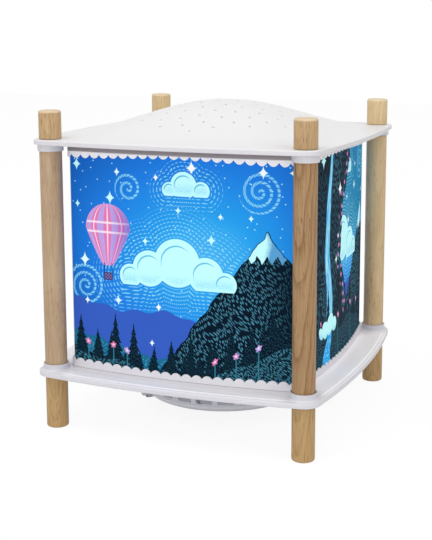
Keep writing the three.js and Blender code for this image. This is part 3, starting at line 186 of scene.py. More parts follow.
def form_of(grid, wrap_rows=False):
    """Points and quads of a grid whose columns wrap round, turned to face out.

    The sign of the volume, the sum of a . (b x c) over its triangles, says which way it faces.
    """
    rows, columns = grid.shape[:2]
    r = np.arange(rows if wrap_rows else rows - 1)[:, None]
    c = np.arange(columns)[None, :]
    r_next, c_next = (r + 1) % rows, (c + 1) % columns
    corners = (r * columns + c, r * columns + c_next,
               r_next * columns + c_next, r_next * columns + c)
    faces = np.stack(np.broadcast_arrays(*corners), axis=-1).reshape(-1, 4)
    points = grid.reshape(-1, 3)
    p0, p1, p2, p3 = (points[faces[:, i]] for i in range(4))
    volume = np.einsum("ij,ij->", p0, np.cross(p1, p2) + np.cross(p2, p3))
    return points, (faces if volume > 0 else faces[:, ::-1])


def softened(profile, radius, steps=4, closed=False):
    """A profile whose corners become curves: (1-t)^2 p + 2t(1-t) c + t^2 q about each corner c.

    The curve starts and ends one radius from the corner, or half way to the next one.
    """
    points = np.array(profile, float)
    reach = np.broadcast_to(np.asarray(radius, float), (len(points),))[:, None]

    def cut(towards):
        """Each corner moved towards its neighbour by its radius, at most half way."""
        way = towards - points
        length = np.linalg.norm(way, axis=1, keepdims=True)
        return points + way * np.minimum(reach / length, 0.5)

    start, end = cut(np.roll(points, 1, 0)), cut(np.roll(points, -1, 0))
    t = np.linspace(0, 1, steps + 1)[None, :, None]
    curve = (1 - t) ** 2 * start[:, None] + 2 * t * (1 - t) * points[:, None] + t ** 2 * end[:, None]
    if not closed:
        curve[0], curve[-1] = points[0], points[-1]
    return curve.reshape(-1, 2)


def rod(radius, low, high):
    """The profile of a plain round rod, as [radius, height]."""
    return [[0, low], [radius, low], [radius, high], [0, high]]


def turned(profile, sides=64, closed=False):
    """A profile of [radius, height] carried round +Z: (r cos a, r sin a, h)."""
    radius, height = np.asarray(profile, float).T
    angle = np.arange(sides) * 2 * np.pi / sides
    grid = np.stack([np.outer(radius, np.cos(angle)), np.outer(radius, np.sin(angle)),
                     np.outer(height, np.ones(sides))], axis=-1)
    return form_of(grid, closed)


def prism(outline, low, high):
    """An outline of [x, y] carried from low to high along +Z, closed by its middle point."""
    outline = np.asarray(outline, float)
    middle = np.broadcast_to(outline.mean(0), outline.shape)
    rows = [np.c_[flat, np.full(len(outline), z)]
            for flat, z in ((middle, low), (outline, low), (outline, high), (middle, high))]
    return form_of(np.stack(rows))


def shifted(form, x, y):
    """The form moved by x and y."""
    points, faces = form
    return points + np.array([x, y, 0]), faces


def along_ray(form, angle, height):
    """The form's x runs round, its y up and its z outwards along the ray at this angle."""
    points, faces = form
    turn = math.radians(angle)
    outward = np.array([math.cos(turn), math.sin(turn), 0])
    around = np.array([-math.sin(turn), math.cos(turn), 0])
    axes = np.stack([around, np.array([0, 0, 1]), outward])
    return points @ axes + np.array([0, 0, height]), faces


def joined(forms):
    """Several forms as one list of points and quads."""
    counts = np.cumsum([0] + [len(points) for points, _ in forms[:-1]])
    points = np.concatenate([points for points, _ in forms])
    faces = np.concatenate([faces + start for (_, faces), start in zip(forms, counts)])
    return points, faces


def at_corners(form):
    """The form at each of the four posts."""
    return joined([shifted(form, x, y) for x, y in CORNERS.values()])


def bowed_square(half, corner, bulge, side_steps=48, corner_steps=12):
    """Stations round a square with bowed sides, as rows of centre x, centre y, radius, angle, share.

    A side is an arc of radius (b^2 + h^2) / 2b plus the corner's, a corner is an arc of its own,
    and share is how far along its side a station lies.
    """
    bow = (bulge ** 2 + half ** 2) / (2 * bulge)
    swing = math.asin(half / bow)
    rise = math.sqrt(bow ** 2 - half ** 2) - half
    side, turn = np.arange(side_steps) / side_steps, np.arange(corner_steps) / corner_steps
    x = np.r_[np.zeros(side_steps), np.full(corner_steps, half)]
    y = np.r_[np.full(side_steps, rise), np.full(corner_steps, -half)]
    radius = np.r_[np.full(side_steps, bow + corner), np.full(corner_steps, corner)]
    angle = np.r_[-swing + 2 * swing * side, swing + (np.pi / 2 - 2 * swing) * turn] - np.pi / 2
    quarter = np.arange(4)[:, None] * np.pi / 2
    return {
        "x": (x * np.cos(quarter) - y * np.sin(quarter)).ravel(),
        "y": (x * np.sin(quarter) + y * np.cos(quarter)).ravel(),
        "radius": np.tile(radius, 4),
        "angle": (angle + quarter).ravel(),
        "share": np.tile(np.r_[side, np.ones(corner_steps)], 4),
    }


def at_inset(stations, inset):
    """The stations' points, each moved inwards along its own normal."""
    reach = stations["radius"] - inset
    return (stations["x"] + reach * np.cos(stations["angle"]),
            stations["y"] + reach * np.sin(stations["angle"]))


def ring_row(stations, inset, height):
    """One row of a loft; the height is a number or a function of x and y."""
    x, y = at_inset(stations, inset)
    z = height(x, y) if callable(height) else np.broadcast_to(height, x.shape)
    return np.stack([x, y, z], axis=-1)


# Pieces: forms made into meshes

MERGE_METRES = 1e-6
SHARP_DEGREES = 38


def make_piece(name, form, material=None, replaced=None, body="stand"):
    """A mesh object in the row frame. With a material, it is finished too."""
    points, faces = form
    mesh = bpy.data.meshes.new(name)
    mesh.from_pydata(points * MM, [], faces)
    work = bmesh.new()
    work.from_mesh(mesh)
    bmesh.ops.remove_doubles(work, verts=work.verts, dist=MERGE_METRES)
    work.to_mesh(mesh)
    work.free()
    piece = bpy.data.objects.new(name, mesh)
    bpy.context.scene.collection.objects.link(piece)
    if material is not None:
        finish_piece(piece, material, replaced, body)
    return piece


def finish_piece(piece, material, replaced, body="stand"):
    """Smooth shading with crisp edges, the material, the body and the CAD node it stands for."""
    piece.data.shade_smooth()
    piece.data.set_sharp_from_angle(angle=math.radians(SHARP_DEGREES))
    piece.data.materials.clear()
    piece.data.materials.append(material)
    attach(piece, body)
    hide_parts(replaced)


def combined(piece, operation, form):
    """The piece with a form added to it or cut out of it."""
    other = make_piece(piece.name + "_tool", form)
    change = piece.modifiers.new(operation.lower(), "BOOLEAN")
    change.object, change.operation, change.solver = other, operation, "EXACT"
    graph = bpy.context.evaluated_depsgraph_get()
    made = bpy.data.meshes.new_from_object(piece.evaluated_get(graph))
    piece.modifiers.clear()
    old, piece.data = piece.data, made
    bpy.data.meshes.remove(old)
    made.name = piece.name
    bpy.data.meshes.remove(other.data)


def carved_piece(name, form, added, cut, material, replaced):
    """A piece with one form added to it and another cut out of it."""
    piece = make_piece(name, form)
    combined(piece, "UNION", added)
    combined(piece, "DIFFERENCE", cut)
    finish_piece(piece, material, replaced)


# Shader building

BLACK = (0, 0, 0, 1)


def rgb(red, green, blue):
    """A colour written as the screen shows it, in 0 to 255, as linear light."""
    share = np.array([red, green, blue]) / 255
    linear = np.where(share <= 0.04045, share / 12.92, ((share + 0.055) / 1.055) ** 2.4)
    return (*linear.tolist(), 1.0)


def feed(node, inputs):
    """Sets a node's inputs, by name or place, to values or links them to fields and sockets."""
    for key, value in inputs.items():
        value = value.socket if isinstance(value, Field) else value
        if isinstance(value, bpy.types.NodeSocket):
            node.id_data.links.new(value, node.inputs[key])
        else:
            node.inputs[key].default_value = value


def new_node(tree, kind, inputs=None, **settings):
    """A shader node of a tree with its settings made and its inputs fed."""
    node = tree.nodes.new("ShaderNode" + kind)
    for name, value in settings.items():
        setattr(node, name, value)
    feed(node, inputs or {})
    return node


def maths(operation, *fixed):
    """A method of Field that makes one Math node."""
    return lambda field, *others: field.math(operation, *others, *fixed)


class Field:
    """A number that varies over a surface. Sums and products of fields become Math nodes."""

    def __init__(self, socket):
        self.socket, self.tree = socket, socket.id_data

    def math(self, operation, *others, clamp=False):
        """One Math node's result, with this field as its first value."""
        values = dict(enumerate((self, *others)))
        return Field(new_node(self.tree, "Math", values, operation=operation, use_clamp=clamp).outputs[0])

    __add__, __sub__ = maths("ADD"), maths("SUBTRACT")
    __mul__, __truediv__, __pow__ = maths("MULTIPLY"), maths("DIVIDE"), maths("POWER")
    __neg__, __abs__ = maths("MULTIPLY", -1.0), maths("ABSOLUTE")
    sin, arcsine, root = maths("SINE"), maths("ARCSINE"), maths("SQRT")
    floor, fraction = maths("FLOOR"), maths("FRACT")
    least, most, above = maths("MINIMUM"), maths("MAXIMUM"), maths("GREATER_THAN")
    angle_from = maths("ARCTAN2")

    def __rsub__(self, other):
        return -self + other

    def clamped(self):
        """The field held between 0 and 1."""
        return self.math("ADD", 0.0, clamp=True)

    def ramp(self, start, reach):
        """0 under the start, rising to 1 over the reach."""
        return ((self - start) / reach).clamped()

    def below(self, edge, blur):
        """1 where the field is under the edge and 0 over it, with a soft step between."""
        return ((-self + edge) / blur + 0.5).clamped()

    def zigzag(self):
        """How far the field's fraction lies from a half."""
        return abs(self.fraction() - 0.5)


def length_of(x, y):
    """The length of the vector (x, y)."""
    return (x * x + y * y).root()


def vector_of(x, y):
    """The vector (x, y, 0)."""
    return new_node(x.tree, "CombineXYZ", {0: x, 1: y}).outputs[0]


def parts_of(vector):
    """The three numbers of a vector or a colour."""
    return [Field(part) for part in new_node(vector.id_data, "SeparateXYZ", {0: vector}).outputs]


def place_in(tree):
    """The shaded point in its object's frame, in metres."""
    return new_node(tree, "TexCoord").outputs["Object"]


def colour_mix(mask, under, over, blend="MIX"):
    """The under colour with the over colour laid on by a mask."""
    tree = mask.tree if isinstance(mask, Field) else under.id_data
    return new_node(tree, "Mix", {"Factor": mask, 6: under, 7: over},
                    data_type="RGBA", blend_type=blend).outputs[2]


def layered(colour, *layers):
    """A colour with others laid on it in turn, each given as its mask and its colour."""
    for mask, over in layers:
        colour = colour_mix(mask, colour, over)
    return colour


def noise_of(vector, scale, detail=2.0, roughness=0.5):
    """Soft noise about 0.5 over a vector."""
    return Field(new_node(vector.id_data, "TexNoise", {
        "Vector": vector, "Scale": scale, "Detail": detail, "Roughness": roughness}).outputs["Fac"])


def cells_of(vector, scale, spread=1.0, dimensions="2D"):
    """Cells about scattered points: the distance from the nearest point, and its random colour."""
    cells = new_node(vector.id_data, "TexVoronoi", {
        "Vector": vector, "Scale": scale, "Randomness": spread}, voronoi_dimensions=dimensions)
    return Field(cells.outputs["Distance"]), cells.outputs["Color"]


SOCKET_KINDS = {1: "NodeSocketFloat", 3: "NodeSocketVector", 4: "NodeSocketColor"}


def new_group(name, given):
    """A node group with these inputs and their values. It puts out a colour, roughness and height."""
    group = bpy.data.node_groups.new(name, "ShaderNodeTree")
    for label, value in given.items():
        socket = group.interface.new_socket(
            label, in_out="INPUT", socket_type=SOCKET_KINDS[np.size(value)])
        socket.default_value = value
    for label, size in (("Colour", 4), ("Roughness", 1), ("Height", 1)):
        group.interface.new_socket(label, in_out="OUTPUT", socket_type=SOCKET_KINDS[size])
    return group, group.nodes.new("NodeGroupInput").outputs, group.nodes.new("NodeGroupOutput")


def moulded_group():
    """Moulded plastic: a cloudy tone, a roughness that follows it and an orange-peel height."""
    group, given, result = new_group("moulded_skin", {
        "Colour": (0.8, 0.8, 0.8, 1), "Cloud": 0.03, "Roughness": 0.4, "Grain": 900.0})
    place = place_in(group)
    peel = noise_of(place, given["Grain"], 1.0)
    amount = Field(given["Cloud"])
    shade = (noise_of(place, 30.0, 3.0) - 0.5) * amount * 2.0
    dark = colour_mix(1.0, given["Colour"], (0.6, 0.6, 0.64, 1), "MULTIPLY")
    rough = Field(given["Roughness"]) + shade * 0.8 + (peel - 0.5) * 0.06
    feed(result, {
        "Colour": colour_mix((shade + amount * 0.5).clamped(), given["Colour"], dark),
        "Roughness": rough.clamped(), "Height": peel})
    return group


def beech_group():
    """Beech: growth rings about a leaning pith, fine streaks along the grain and short flecks.

    Each post is measured from its own axis, by folding the lamp's four quarters onto one.
    Ring number = distance from the leaning pith / spacing + a slow wobble, and the late wood
    is the dark end of each ring.
    """
    group, given, result = new_group("beech_grain", {
        "Pith": (0.0, 0.0, 0.0), "Lean": (0.0, 0.0, 0.0), "Ring spacing": 2.4,
        "Early": (0.5, 0.4, 0.3, 1), "Late": (0.4, 0.3, 0.2, 1), "Contrast": 0.6})
    place = place_in(group)

    def drawn_out(share):
        """The place with its heights shortened, which draws a pattern out along the grain."""
        return new_node(group, "Mapping", {"Vector": place, "Scale": (1.0, 1.0, share)}).outputs[0]

    *across, height = (part / MM for part in parts_of(place))
    x, y = (abs(part) - HALF_SPACING - pith - height * lean
            for part, pith, lean in zip(across, parts_of(given["Pith"]), parts_of(given["Lean"])))
    ring = (length_of(x, y) / Field(given["Ring spacing"]) + noise_of(place, 16.0) * 2.6).fraction()
    late = (ring ** 3.0) * ring.below(0.96, 0.08)
    streak = noise_of(drawn_out(0.035), 1500.0, 3.0, 0.6)
    cells, _ = cells_of(drawn_out(0.11), 950.0, dimensions="3D")
    fleck = cells.below(0.2, 0.12) * (noise_of(place, 55.0) - 0.3).clamped() * 2.8
    slow = noise_of(place, 22.0) - 0.5
    tone = (late * Field(given["Contrast"]) + (streak - 0.45) * 1.7 + slow * 0.7 + 0.15).clamped()
    # Painted highlight: the finials' tops paler, as if lit from above
    crest = ((height - (FINIAL_TOP - CREST_HIGHLIGHT_BAND)) * 1.2).clamped()
    colour = colour_mix(tone, given["Early"], given["Late"])
    brown = colour_mix(1.0, colour, (0.52, 0.40, 0.32, 1), "MULTIPLY")
    feed(result, {
        "Colour": layered(colour, (fleck.clamped(), brown), (crest * 0.7, rgb(236, 216, 184))),
        "Roughness": (tone * 0.12 + 0.5 + fleck * 0.1).clamped(),
        "Height": -(late * 0.5) - streak * 0.6 - fleck * 0.8})
    return group


MOULDED = moulded_group()
BEECH = beech_group()


def new_material(name):
    """A material and its shader."""
    material = bpy.data.materials.new(name)
    material.use_nodes = True
    return material, shader_of(material)


def shader_of(material):
    """The material's Principled shader."""
    return material.node_tree.nodes["Principled BSDF"]


def skinned(name, group, values, relief, strength=1.0):
    """A material with a group's colour, roughness and bump. The relief is in millimetres."""
    material, shader = new_material(name)
    skin = new_node(material.node_tree, "Group", values, node_tree=group).outputs
    bump = new_node(material.node_tree, "Bump", {
        "Strength": strength, "Distance": relief * MM, "Height": skin["Height"]})
    feed(shader, {"Base Color": skin["Colour"], "Roughness": skin["Roughness"],
                  "Normal": bump.outputs["Normal"]})
    return material


def moulded(name, colour, roughness, cloud=0.03, grain=900.0, peel=0.01):
    """A moulded plastic, or a plain metal or clear part, with its own tone and grain."""
    return skinned(name, MOULDED, {
        "Colour": rgb(*colour), "Cloud": cloud, "Roughness": roughness, "Grain": grain}, peel)


def beech(name, early, late, pith, lean, spacing, contrast):
    """Oiled beech. The pith is measured from the post's axis, and leans away as it rises."""
    material = skinned(name, BEECH, {
        "Pith": (*pith, 0.0), "Lean": (*lean, 0.0), "Ring spacing": spacing,
        "Early": rgb(*early), "Late": rgb(*late), "Contrast": contrast}, 0.06, 0.5)
    feed(shader_of(material), {"Specular IOR Level": 0.35})
    return material


# The printed night landscape

NAVY = rgb(8, 25, 40)
NAVY_STROKE = rgb(70, 132, 155)
SKY_DEEP = rgb(22, 92, 182)
SKY_BLUE = rgb(32, 124, 222)
SKY_CYAN = rgb(38, 162, 234)
SKY_PALE = rgb(140, 218, 246)
TEAL = rgb(34, 128, 163)
INDIGO = rgb(54, 92, 190)
AQUA = rgb(192, 250, 253)
AQUA_SHADE = rgb(130, 214, 238)
CLOUD_LINE = rgb(96, 188, 226)
STAR_WHITE = rgb(250, 252, 255)
LILAC = rgb(186, 160, 226)
PINK = rgb(226, 120, 176)

# Puffs as x, y and radius
BANK_PUFFS = [(-33, 68, 8), (-19, 74, 12), (1, 79, 16), (21, 72, 12), (34, 67, 8)]
SMALL_PUFFS = [(-4, 127, 5), (6, 130, 9), (18, 127, 6)]
FOAM_PUFFS = [(-14, 1, 4), (-6, 4, 6), (4, 5, 7), (13, 2, 5)]
BANK_FOOT, SMALL_FOOT, FOAM_FOOT = 62.0, 123.0, -3.5

# Curls as x, y, size and the way they turn
CURLS = [(-68, 58, 15, 1), (57, 128, 14, -1), (-34, 126, 10, 1)]

# A hill line's waves as size, count round the shade and phase
FAR_WAVES = [(11.0, 3, 0.6), (5.0, 7, 2.0), (1.2, 29, 0.0)]
MIDDLE_WAVES = [(10.0, 2, 3.6), (4.0, 5, 1.0), (0.9, 37, 0.0)]
NEAR_WAVES = [(13.0, 2, -2.6), (5.5, 5, 0.2), (1.6, 17, 1.1)]

# Rows of pines as count round the shade, tallest and shift
PINE_ROWS = [(46, 34.0, 0.0), (59, 22.0, 6.5)]

PEAK_SLOPE = 1.32
PEAK_APEX = 103.0
STAR_APEX = 108.0
SNOW_LINE = 82.0
FALL_PLACE = -24.0
FALL_CLEARANCE = 11.0
FLOWER_CLEARANCE = 14.0
STAR_CLEARANCE = 16.0
PETALS_ROUND, FLOWERS_ROUND, STARS_ROUND = 96, 34, 26
BALLOON_RADIUS = 17.0
BALLOON_SKIRT = 28.0
# Strength of the print's painted glow
PRINT_PAINTED_GLOW = 0.56


def ridge(u, perimeter, base, waves):
    """A hill line round the shade: base + the sum of a sin(2 pi n u / perimeter + p)."""
    height = u * 0.0 + base
    for size, count, phase in waves:
        height = height + (u * (2 * math.pi * count / perimeter) + phase).sin() * size
    return height


def brush_strokes(x, y, turn, across, along, width):
    """Short strokes: cells stretched along a direction, where their distance is small."""
    cos, sin = math.cos(turn), math.sin(turn)
    swept = noise_of(vector_of(x * 0.035, y * 0.035), 1.0, 1.0) * 14.0
    a = (x * cos + y * sin + swept) / along
    b = (y * cos - x * sin + swept) / across
    return cells_of(vector_of(a, b), 1.0, 0.75)[0].below(width, 0.12)


def dots(x, y, pitch, spread):
    """The distance from a scattered dot's middle, in pitches."""
    return cells_of(vector_of(x, y), 1.0 / pitch, spread)[0]


def cloud_distance(x, y, puffs, foot):
    """Distance to a bank of round puffs with a flat foot, negative inside."""
    nearest = functools.reduce(Field.least, [
        length_of(x - puff_x, y - puff_y) - radius for puff_x, puff_y, radius in puffs])
    return nearest.most(foot - y)


def scattered(x, y, width, height):
    """Cells of a grid: offsets from a random point in each, and three random numbers."""
    column, row = x / width, y / height
    chance = new_node(x.tree, "TexWhiteNoise", {"Vector": vector_of(column.floor(), row.floor())},
                      noise_dimensions="2D")
    first, second, third = parts_of(chance.outputs["Color"])
    dx = (column.fraction() - 0.5 - (first - 0.5) * 0.5) * width
    dy = (row.fraction() - 0.5 - (second - 0.5) * 0.5) * height
    return dx, dy, first, second, third


def pines(u, v, perimeter, count, hill, tallest):
    """A row of pines: in each cell a spire whose half width falls to 0 at its top in steps."""
    width = perimeter / count
    column = u / width
    chance = new_node(u.tree, "TexWhiteNoise", {"W": column.floor()}, noise_dimensions="1D")
    tall = Field(chance.outputs["Value"]) * (tallest * 0.55) + tallest * 0.45
    rise = (v - hill((column.floor() + 0.5) * width) + 2.0) / tall
    tier = (rise * 5.5).fraction()
    half = (1.0 - rise) * (1.0 - tier * 0.42) * (width * 0.5)
    return (column.zigzag() * width - half).below(0.0, 0.3) * rise.below(1.0, 0.02)


def dashes(x, y, distance, reach, pitch, length):
    """Rows of dashes that follow an outline; each row is a step of the distance to it."""
    row = distance / pitch
    ring = row.floor()
    along = y.angle_from(x) * (ring * pitch + reach * 1.2) / length + ring * 0.37
    fade = (1.0 - distance / reach).clamped()
    line = (row.zigzag() - fade * 0.2).below(0.0, 0.12)
    return line * along.zigzag().below(0.3, 0.12) * distance.above(1.2) * (fade * 5.0).clamped()


def five_petals(x, y, depth):
    """A flower's outline, as the distance from its middle less depth sin(5 a)."""
    return length_of(x, y) - (y.angle_from(x) * 5.0).sin() * depth


def cloud_body(x, y, distance, puffs, foot):
    """A cloud's colours: a stippled shade at its foot, and a drawn fold in each puff."""
    shade = (foot + 9.0 - y).ramp(0.0, 11.0) * (-distance).ramp(0.8, 3.0)
    stipple = dots(x, y, 1.5, 0.6).below(0.3, 0.1) * shade
    body = layered(AQUA, (shade * 0.7, AQUA_SHADE), (stipple * 0.6, SKY_CYAN))
    for puff_x, puff_y, radius in puffs:
        dx, dy = x - puff_x, y - puff_y
        facing = (dy * 0.85 - dx * 0.5) / radius
        fold = abs(length_of(dx, dy) - radius * 0.7) - (facing * 1.6).clamped() * 0.62
        body = colour_mix(fold.below(-0.12, 0.3) * facing.above(0.0), body, CLOUD_LINE)
    return body


def balloon_outline(x, y):
    """A balloon's half width: a circle's over its middle, and under it (rise / skirt) ^ 0.72."""
    crown = (1.0 - (y / BALLOON_RADIUS) * (y / BALLOON_RADIUS)).most(0.0).root()
    skirt = y.ramp(-BALLOON_SKIRT, BALLOON_SKIRT) ** 0.72
    upper = y.above(0.0)
    half_width = (crown * upper + skirt * (1.0 - upper)) * BALLOON_RADIUS
    outline = (abs(x) - half_width).most(-y - 24.5).most(y - BALLOON_RADIUS)
    return half_width, outline.below(0.0, 0.35)


def balloon_gores(x, y, half_width):
    """The envelope's colours: gores at equal steps of asin(x / half width), a band and a shade."""
    gore = (x / half_width.most(0.5)).arcsine() * (4.5 / math.pi)
    stripe = (gore + 0.5).zigzag()
    return layered(LILAC, (stripe.below(0.27, 0.04), PINK),
                   (stripe.below(0.05, 0.04), rgb(246, 214, 236)),
                   (abs(abs(y - 1.0) - 3.2).below(0.7, 0.3) * 0.8, rgb(250, 232, 244)),
                   (x.ramp(2.0, 20.0) * 0.9, rgb(104, 88, 190)))


def night_print(perimeter, corner_length):
    """The shade's print, drawn in millimetres: u runs round the shade and v up from the tray."""
    material, shader = new_material("night_print")
    tree = material.node_tree
    u, v, _ = parts_of(new_node(tree, "UVMap", uv_map="print").outputs[0])
    u = u + corner_length / 2
    side_length = perimeter / 4
    side = (u / side_length).floor()
    x = u - (side + 0.5) * side_length
    side = side - (side / 4.0).floor() * 4.0
    cliff_side = (side - (side / 2.0).floor() * 2.0).clamped()
    open_side = 1.0 - cliff_side
    picture = SKY_DEEP

    def paint(mask, over):
        """Lays a colour on the picture by a mask."""
        nonlocal picture
        picture = colour_mix(mask, picture, over)

    # Sky: the print's blues, brightened towards each side's middle by a painted glow standing in for the
    # lamp inside
    painted_lamp_glow = 1.0 - length_of((x - 20.0) / 100.0, (v - 84.0) / 78.0)
    paint((painted_lamp_glow * 2.2 + 0.5).clamped(), SKY_BLUE)
    paint((painted_lamp_glow * 1.9 - 0.45).clamped(), SKY_CYAN)
    paint((painted_lamp_glow * 2.2 - 1.35).clamped() * 0.2, SKY_PALE)
    paint(cliff_side * v.ramp(60.0, 34.0) * 0.85, TEAL)
    paint(cliff_side * (68.0 - v).ramp(0.0, 34.0) * 0.85, INDIGO)
    paint(dots(u + 31.0, v, 9.5, 1.0).below(0.04, 0.025), AQUA)

    # The same motifs are set a little apart on each side
    mx = x - (side * 2.4).sin() * 9.0
    my = v - (side * 1.7).sin() * 6.0

    # Dashes round the clouds
    bank = cloud_distance(mx, my, BANK_PUFFS, BANK_FOOT)
    small = cloud_distance(mx, my, SMALL_PUFFS, SMALL_FOOT)
    paint(dashes(mx, my - 70.0, bank, 25.0, 2.5, 3.1) * 0.85, SKY_PALE)
    paint(dashes(mx - 7.0, my - 127.0, small, 12.0, 2.5, 3.1) * 0.85, SKY_PALE)

    # Curls of wind, as spirals: the fraction of r / pitch - angle / turn
    for curl_x, curl_y, size, way in CURLS:
        dx, dy = mx - curl_x, my - curl_y
        radius = length_of(dx, dy)
        angle = (dy * way).angle_from(dx) / (2 * math.pi)
        arm = (radius / 5.0 - angle).zigzag().below(0.17, 0.08)
        broken = (angle * radius * 2.1).zigzag().below(0.36, 0.1)
        paint(arm * radius.below(size, 0.4) * broken * 0.8, SKY_PALE)

    # Far and middle hills
    paint((v - ridge(u, perimeter, 38.0, FAR_WAVES)).below(0.0, 0.4), INDIGO)
    above_middle = v - ridge(u, perimeter, 27.0, MIDDLE_WAVES)
    paint(above_middle.below(0.0, 0.4), rgb(28, 104, 144))
    hatch = brush_strokes(u, v, 0.5, 1.5, 4.6, 0.24)
    paint(above_middle.below(-1.5, 0.6) * hatch * 0.7, rgb(74, 160, 184))

    # A dark peak with a pale cap
    px = mx - 62.0
    wander = noise_of(vector_of(u, v), 0.09, 3.0) - 0.5

    def under_peak(across, up, apex):
        """How far a point lies under the peak's line: apex - slope |across| - up + a wander."""
        return -abs(across) * PEAK_SLOPE + apex - up + wander * 9.0

    summit = under_peak(px, v, PEAK_APEX)
    inside = (-summit).below(0.0, 0.5)
    paint(inside, NAVY)
    face = brush_strokes(u, v, -0.95, 1.2, 4.2, 0.27)
    paint(inside * summit.above(1.4) * face * (-px / 26.0 + 0.75).clamped(), NAVY_STROKE)
    teeth = ((px + wander * 6.0) / 7.0).zigzag() * 11.0
    snow = colour_mix((px / 5.0 + 0.5 + wander * 2.0).clamped(), AQUA, rgb(88, 158, 208))
    paint((v - teeth).above(SNOW_LINE) * inside * summit.above(0.9), snow)

    # Clouds
    for distance, puffs, foot in ((bank, BANK_PUFFS, BANK_FOOT), (small, SMALL_PUFFS, SMALL_FOOT)):
        paint(distance.below(0.0, 0.35), cloud_body(mx, my, distance, puffs, foot))

    # Hot-air balloon with its ropes and a woven basket
    bx, by = mx + 50.0, my - 98.0
    half_width, envelope = balloon_outline(bx, by)
    paint(envelope, balloon_gores(bx, by, half_width))
    basket = (abs(bx) - 3.4).most(abs(by + 32.0) - 2.6)
    rope = (abs(abs(bx) - 3.0) - 0.3).most(abs(by + 27.0) - 4.0)
    weave = (bx * 2.6).sin() * ((by + 32.0) * 3.4).sin()
    paint(basket.least(rope).below(0.0, 0.25), rgb(40, 32, 86))
    paint(basket.below(-0.5, 0.25) * weave.below(0.0, 0.5) * 0.5, LILAC)

    # Two of the sides: a dark cliff of faceted rock, a waterfall down it and a vine along its edge
    brow = (v / 21.0 + 0.7).sin() * 11.0 + (v / 6.5).sin() * 1.5 + wander * 13.0 + 13.0
    depth = brow - x
    rock = (-depth).below(0.0, 0.4) * cliff_side
    paint(rock, NAVY)
    _, facets = cells_of(vector_of(u + wander * 10.0, v * 0.7 - u * 0.25), 1.0 / 24.0)
    tone = parts_of(facets)[0] * 0.75 + 0.1
    seams = brush_strokes(u, v, 1.25, 1.3, 4.6, 0.29)
    paint(rock * depth.above(1.6) * seams * tone, NAVY_STROKE)
    from_fall = x - FALL_PLACE
    fall_x = from_fall - (v / 19.0).sin() * 3.5 - (v / 7.0).sin() * 0.7
    ragged = (noise_of(vector_of(x * 0.3, v * 0.06), 1.0) - 0.5) * 3.0
    water = abs(fall_x) - ((150.0 - v) / 30.0 + 3.0 + ragged)
    threads = noise_of(vector_of(fall_x * 1.1, v * 0.06), 1.0, 2.0, 0.6)
    flow = colour_mix(((threads - 0.4) * 6.0).clamped(), AQUA, SKY_CYAN)
    flow = colour_mix(water.below(-1.2, 0.4), TEAL, flow)
    paint(water.below(0.0, 0.4) * cliff_side, flow)
    vine = (abs(depth - (v / 3.1).sin() * 1.3 - 5.0) - 0.35).below(0.0, 0.3)
    paint(vine * cliff_side, TEAL)
    petal_x, petal_y, petal_a, petal_b, _ = scattered(u, v, perimeter / PETALS_ROUND, 7.0)
    petal = five_petals(petal_x, petal_y, 0.4).below(1.5, 0.3)
    near_brow = abs(depth - 5.0).below(4.5, 1.0) * petal_b.above(0.25)
    paint(petal * near_brow * cliff_side, colour_mix(petal_a, LILAC, PINK))

    # Near hill with brush strokes, and its pines
    def near(place):
        """The near hill's line at a place round the shade."""
        return ridge(place, perimeter, 17.5, NEAR_WAVES)

    above_near = v - near(u)
    trees = functools.reduce(Field.most, [
        pines(u + shift, v, perimeter, count, near, tallest) for count, tallest, shift in PINE_ROWS])
    paint(above_near.below(0.0, 0.35).most(trees), NAVY)
    strokes = brush_strokes(u, v, -0.7, 1.0, 3.1, 0.3)
    paint(above_near.below(-2.0, 0.8) * strokes * (cliff_side * -0.5 + 1.0), NAVY_STROKE)
    needles = brush_strokes(u, v, 1.1, 0.8, 1.9, 0.2)
    paint(trees * needles * 0.55, rgb(46, 106, 126))

    # Below the fall: foam on the hill's line and a stream down to the tray
    stream = abs(from_fall + (v / 5.0).sin() * 3.0) - (44.0 - v) / 5.0
    stream = stream.below(0.0, 0.4) * above_near.below(1.0, 1.0) * cliff_side
    paint(stream, colour_mix(hatch, SKY_CYAN, SKY_PALE))
    foam = cloud_distance(from_fall, above_near, FOAM_PUFFS, FOAM_FOOT)
    froth = colour_mix((2.0 - above_near).ramp(0.0, 5.0) * 0.7, AQUA, AQUA_SHADE)
    paint(foam.below(0.0, 0.4) * cliff_side, froth)

    # Small flowers on stems along the near hill
    flower_x, _, chance_a, chance_b, chance_c = scattered(
        u, u * 0.0, perimeter / FLOWERS_ROUND, 10.0)
    grows = chance_c.above(0.45) * abs(from_fall).above(FLOWER_CLEARANCE).most(open_side)
    head = above_near - chance_b * 5.0 - 4.0
    stem = (abs(flower_x) - 0.35).below(0.0, 0.2) * head.below(0.0, 0.3)
    paint(stem * grows, rgb(52, 128, 150))
    bloom = five_petals(flower_x, head, 0.45)
    paint(bloom.below(1.9, 0.3) * grows, colour_mix(chance_a, LILAC, PINK))
    paint(bloom.below(0.5, 0.3) * grows, STAR_WHITE)

    # Stars: four points where |x|^0.6 + |y|^0.6 is under 1, kept whole by judging their middles
    star_x, star_y, star_a, star_b, star_c = scattered(
        u, v + 5.0, perimeter / STARS_ROUND, 22.0)
    size = star_b * star_b * 2.8 + 2.0
    spark = (abs(star_x) / size) ** 0.6 + (abs(star_y) / (size * 1.3)) ** 0.6
    beyond = under_peak(px - star_x, v - star_y, STAR_APEX).below(0.0, 0.01)
    away = rock.most(bank.least(small).above(1.0) * beyond)
    dry = abs(fall_x - star_x).above(FALL_CLEARANCE).most(open_side)
    clear = (above_near - star_y).above(STAR_CLEARANCE) * (1.0 - envelope) * foam.above(1.0)
    paint(spark.below(1.0, 0.12) * star_c.above(0.34) * clear * away * dry,
          colour_mix(star_a, AQUA, STAR_WHITE))

    # The pale edge where the sheet bends round a corner
    paint(abs(abs(x) - side_length / 2).below(0.5, 0.4) * 0.7, rgb(214, 226, 240))
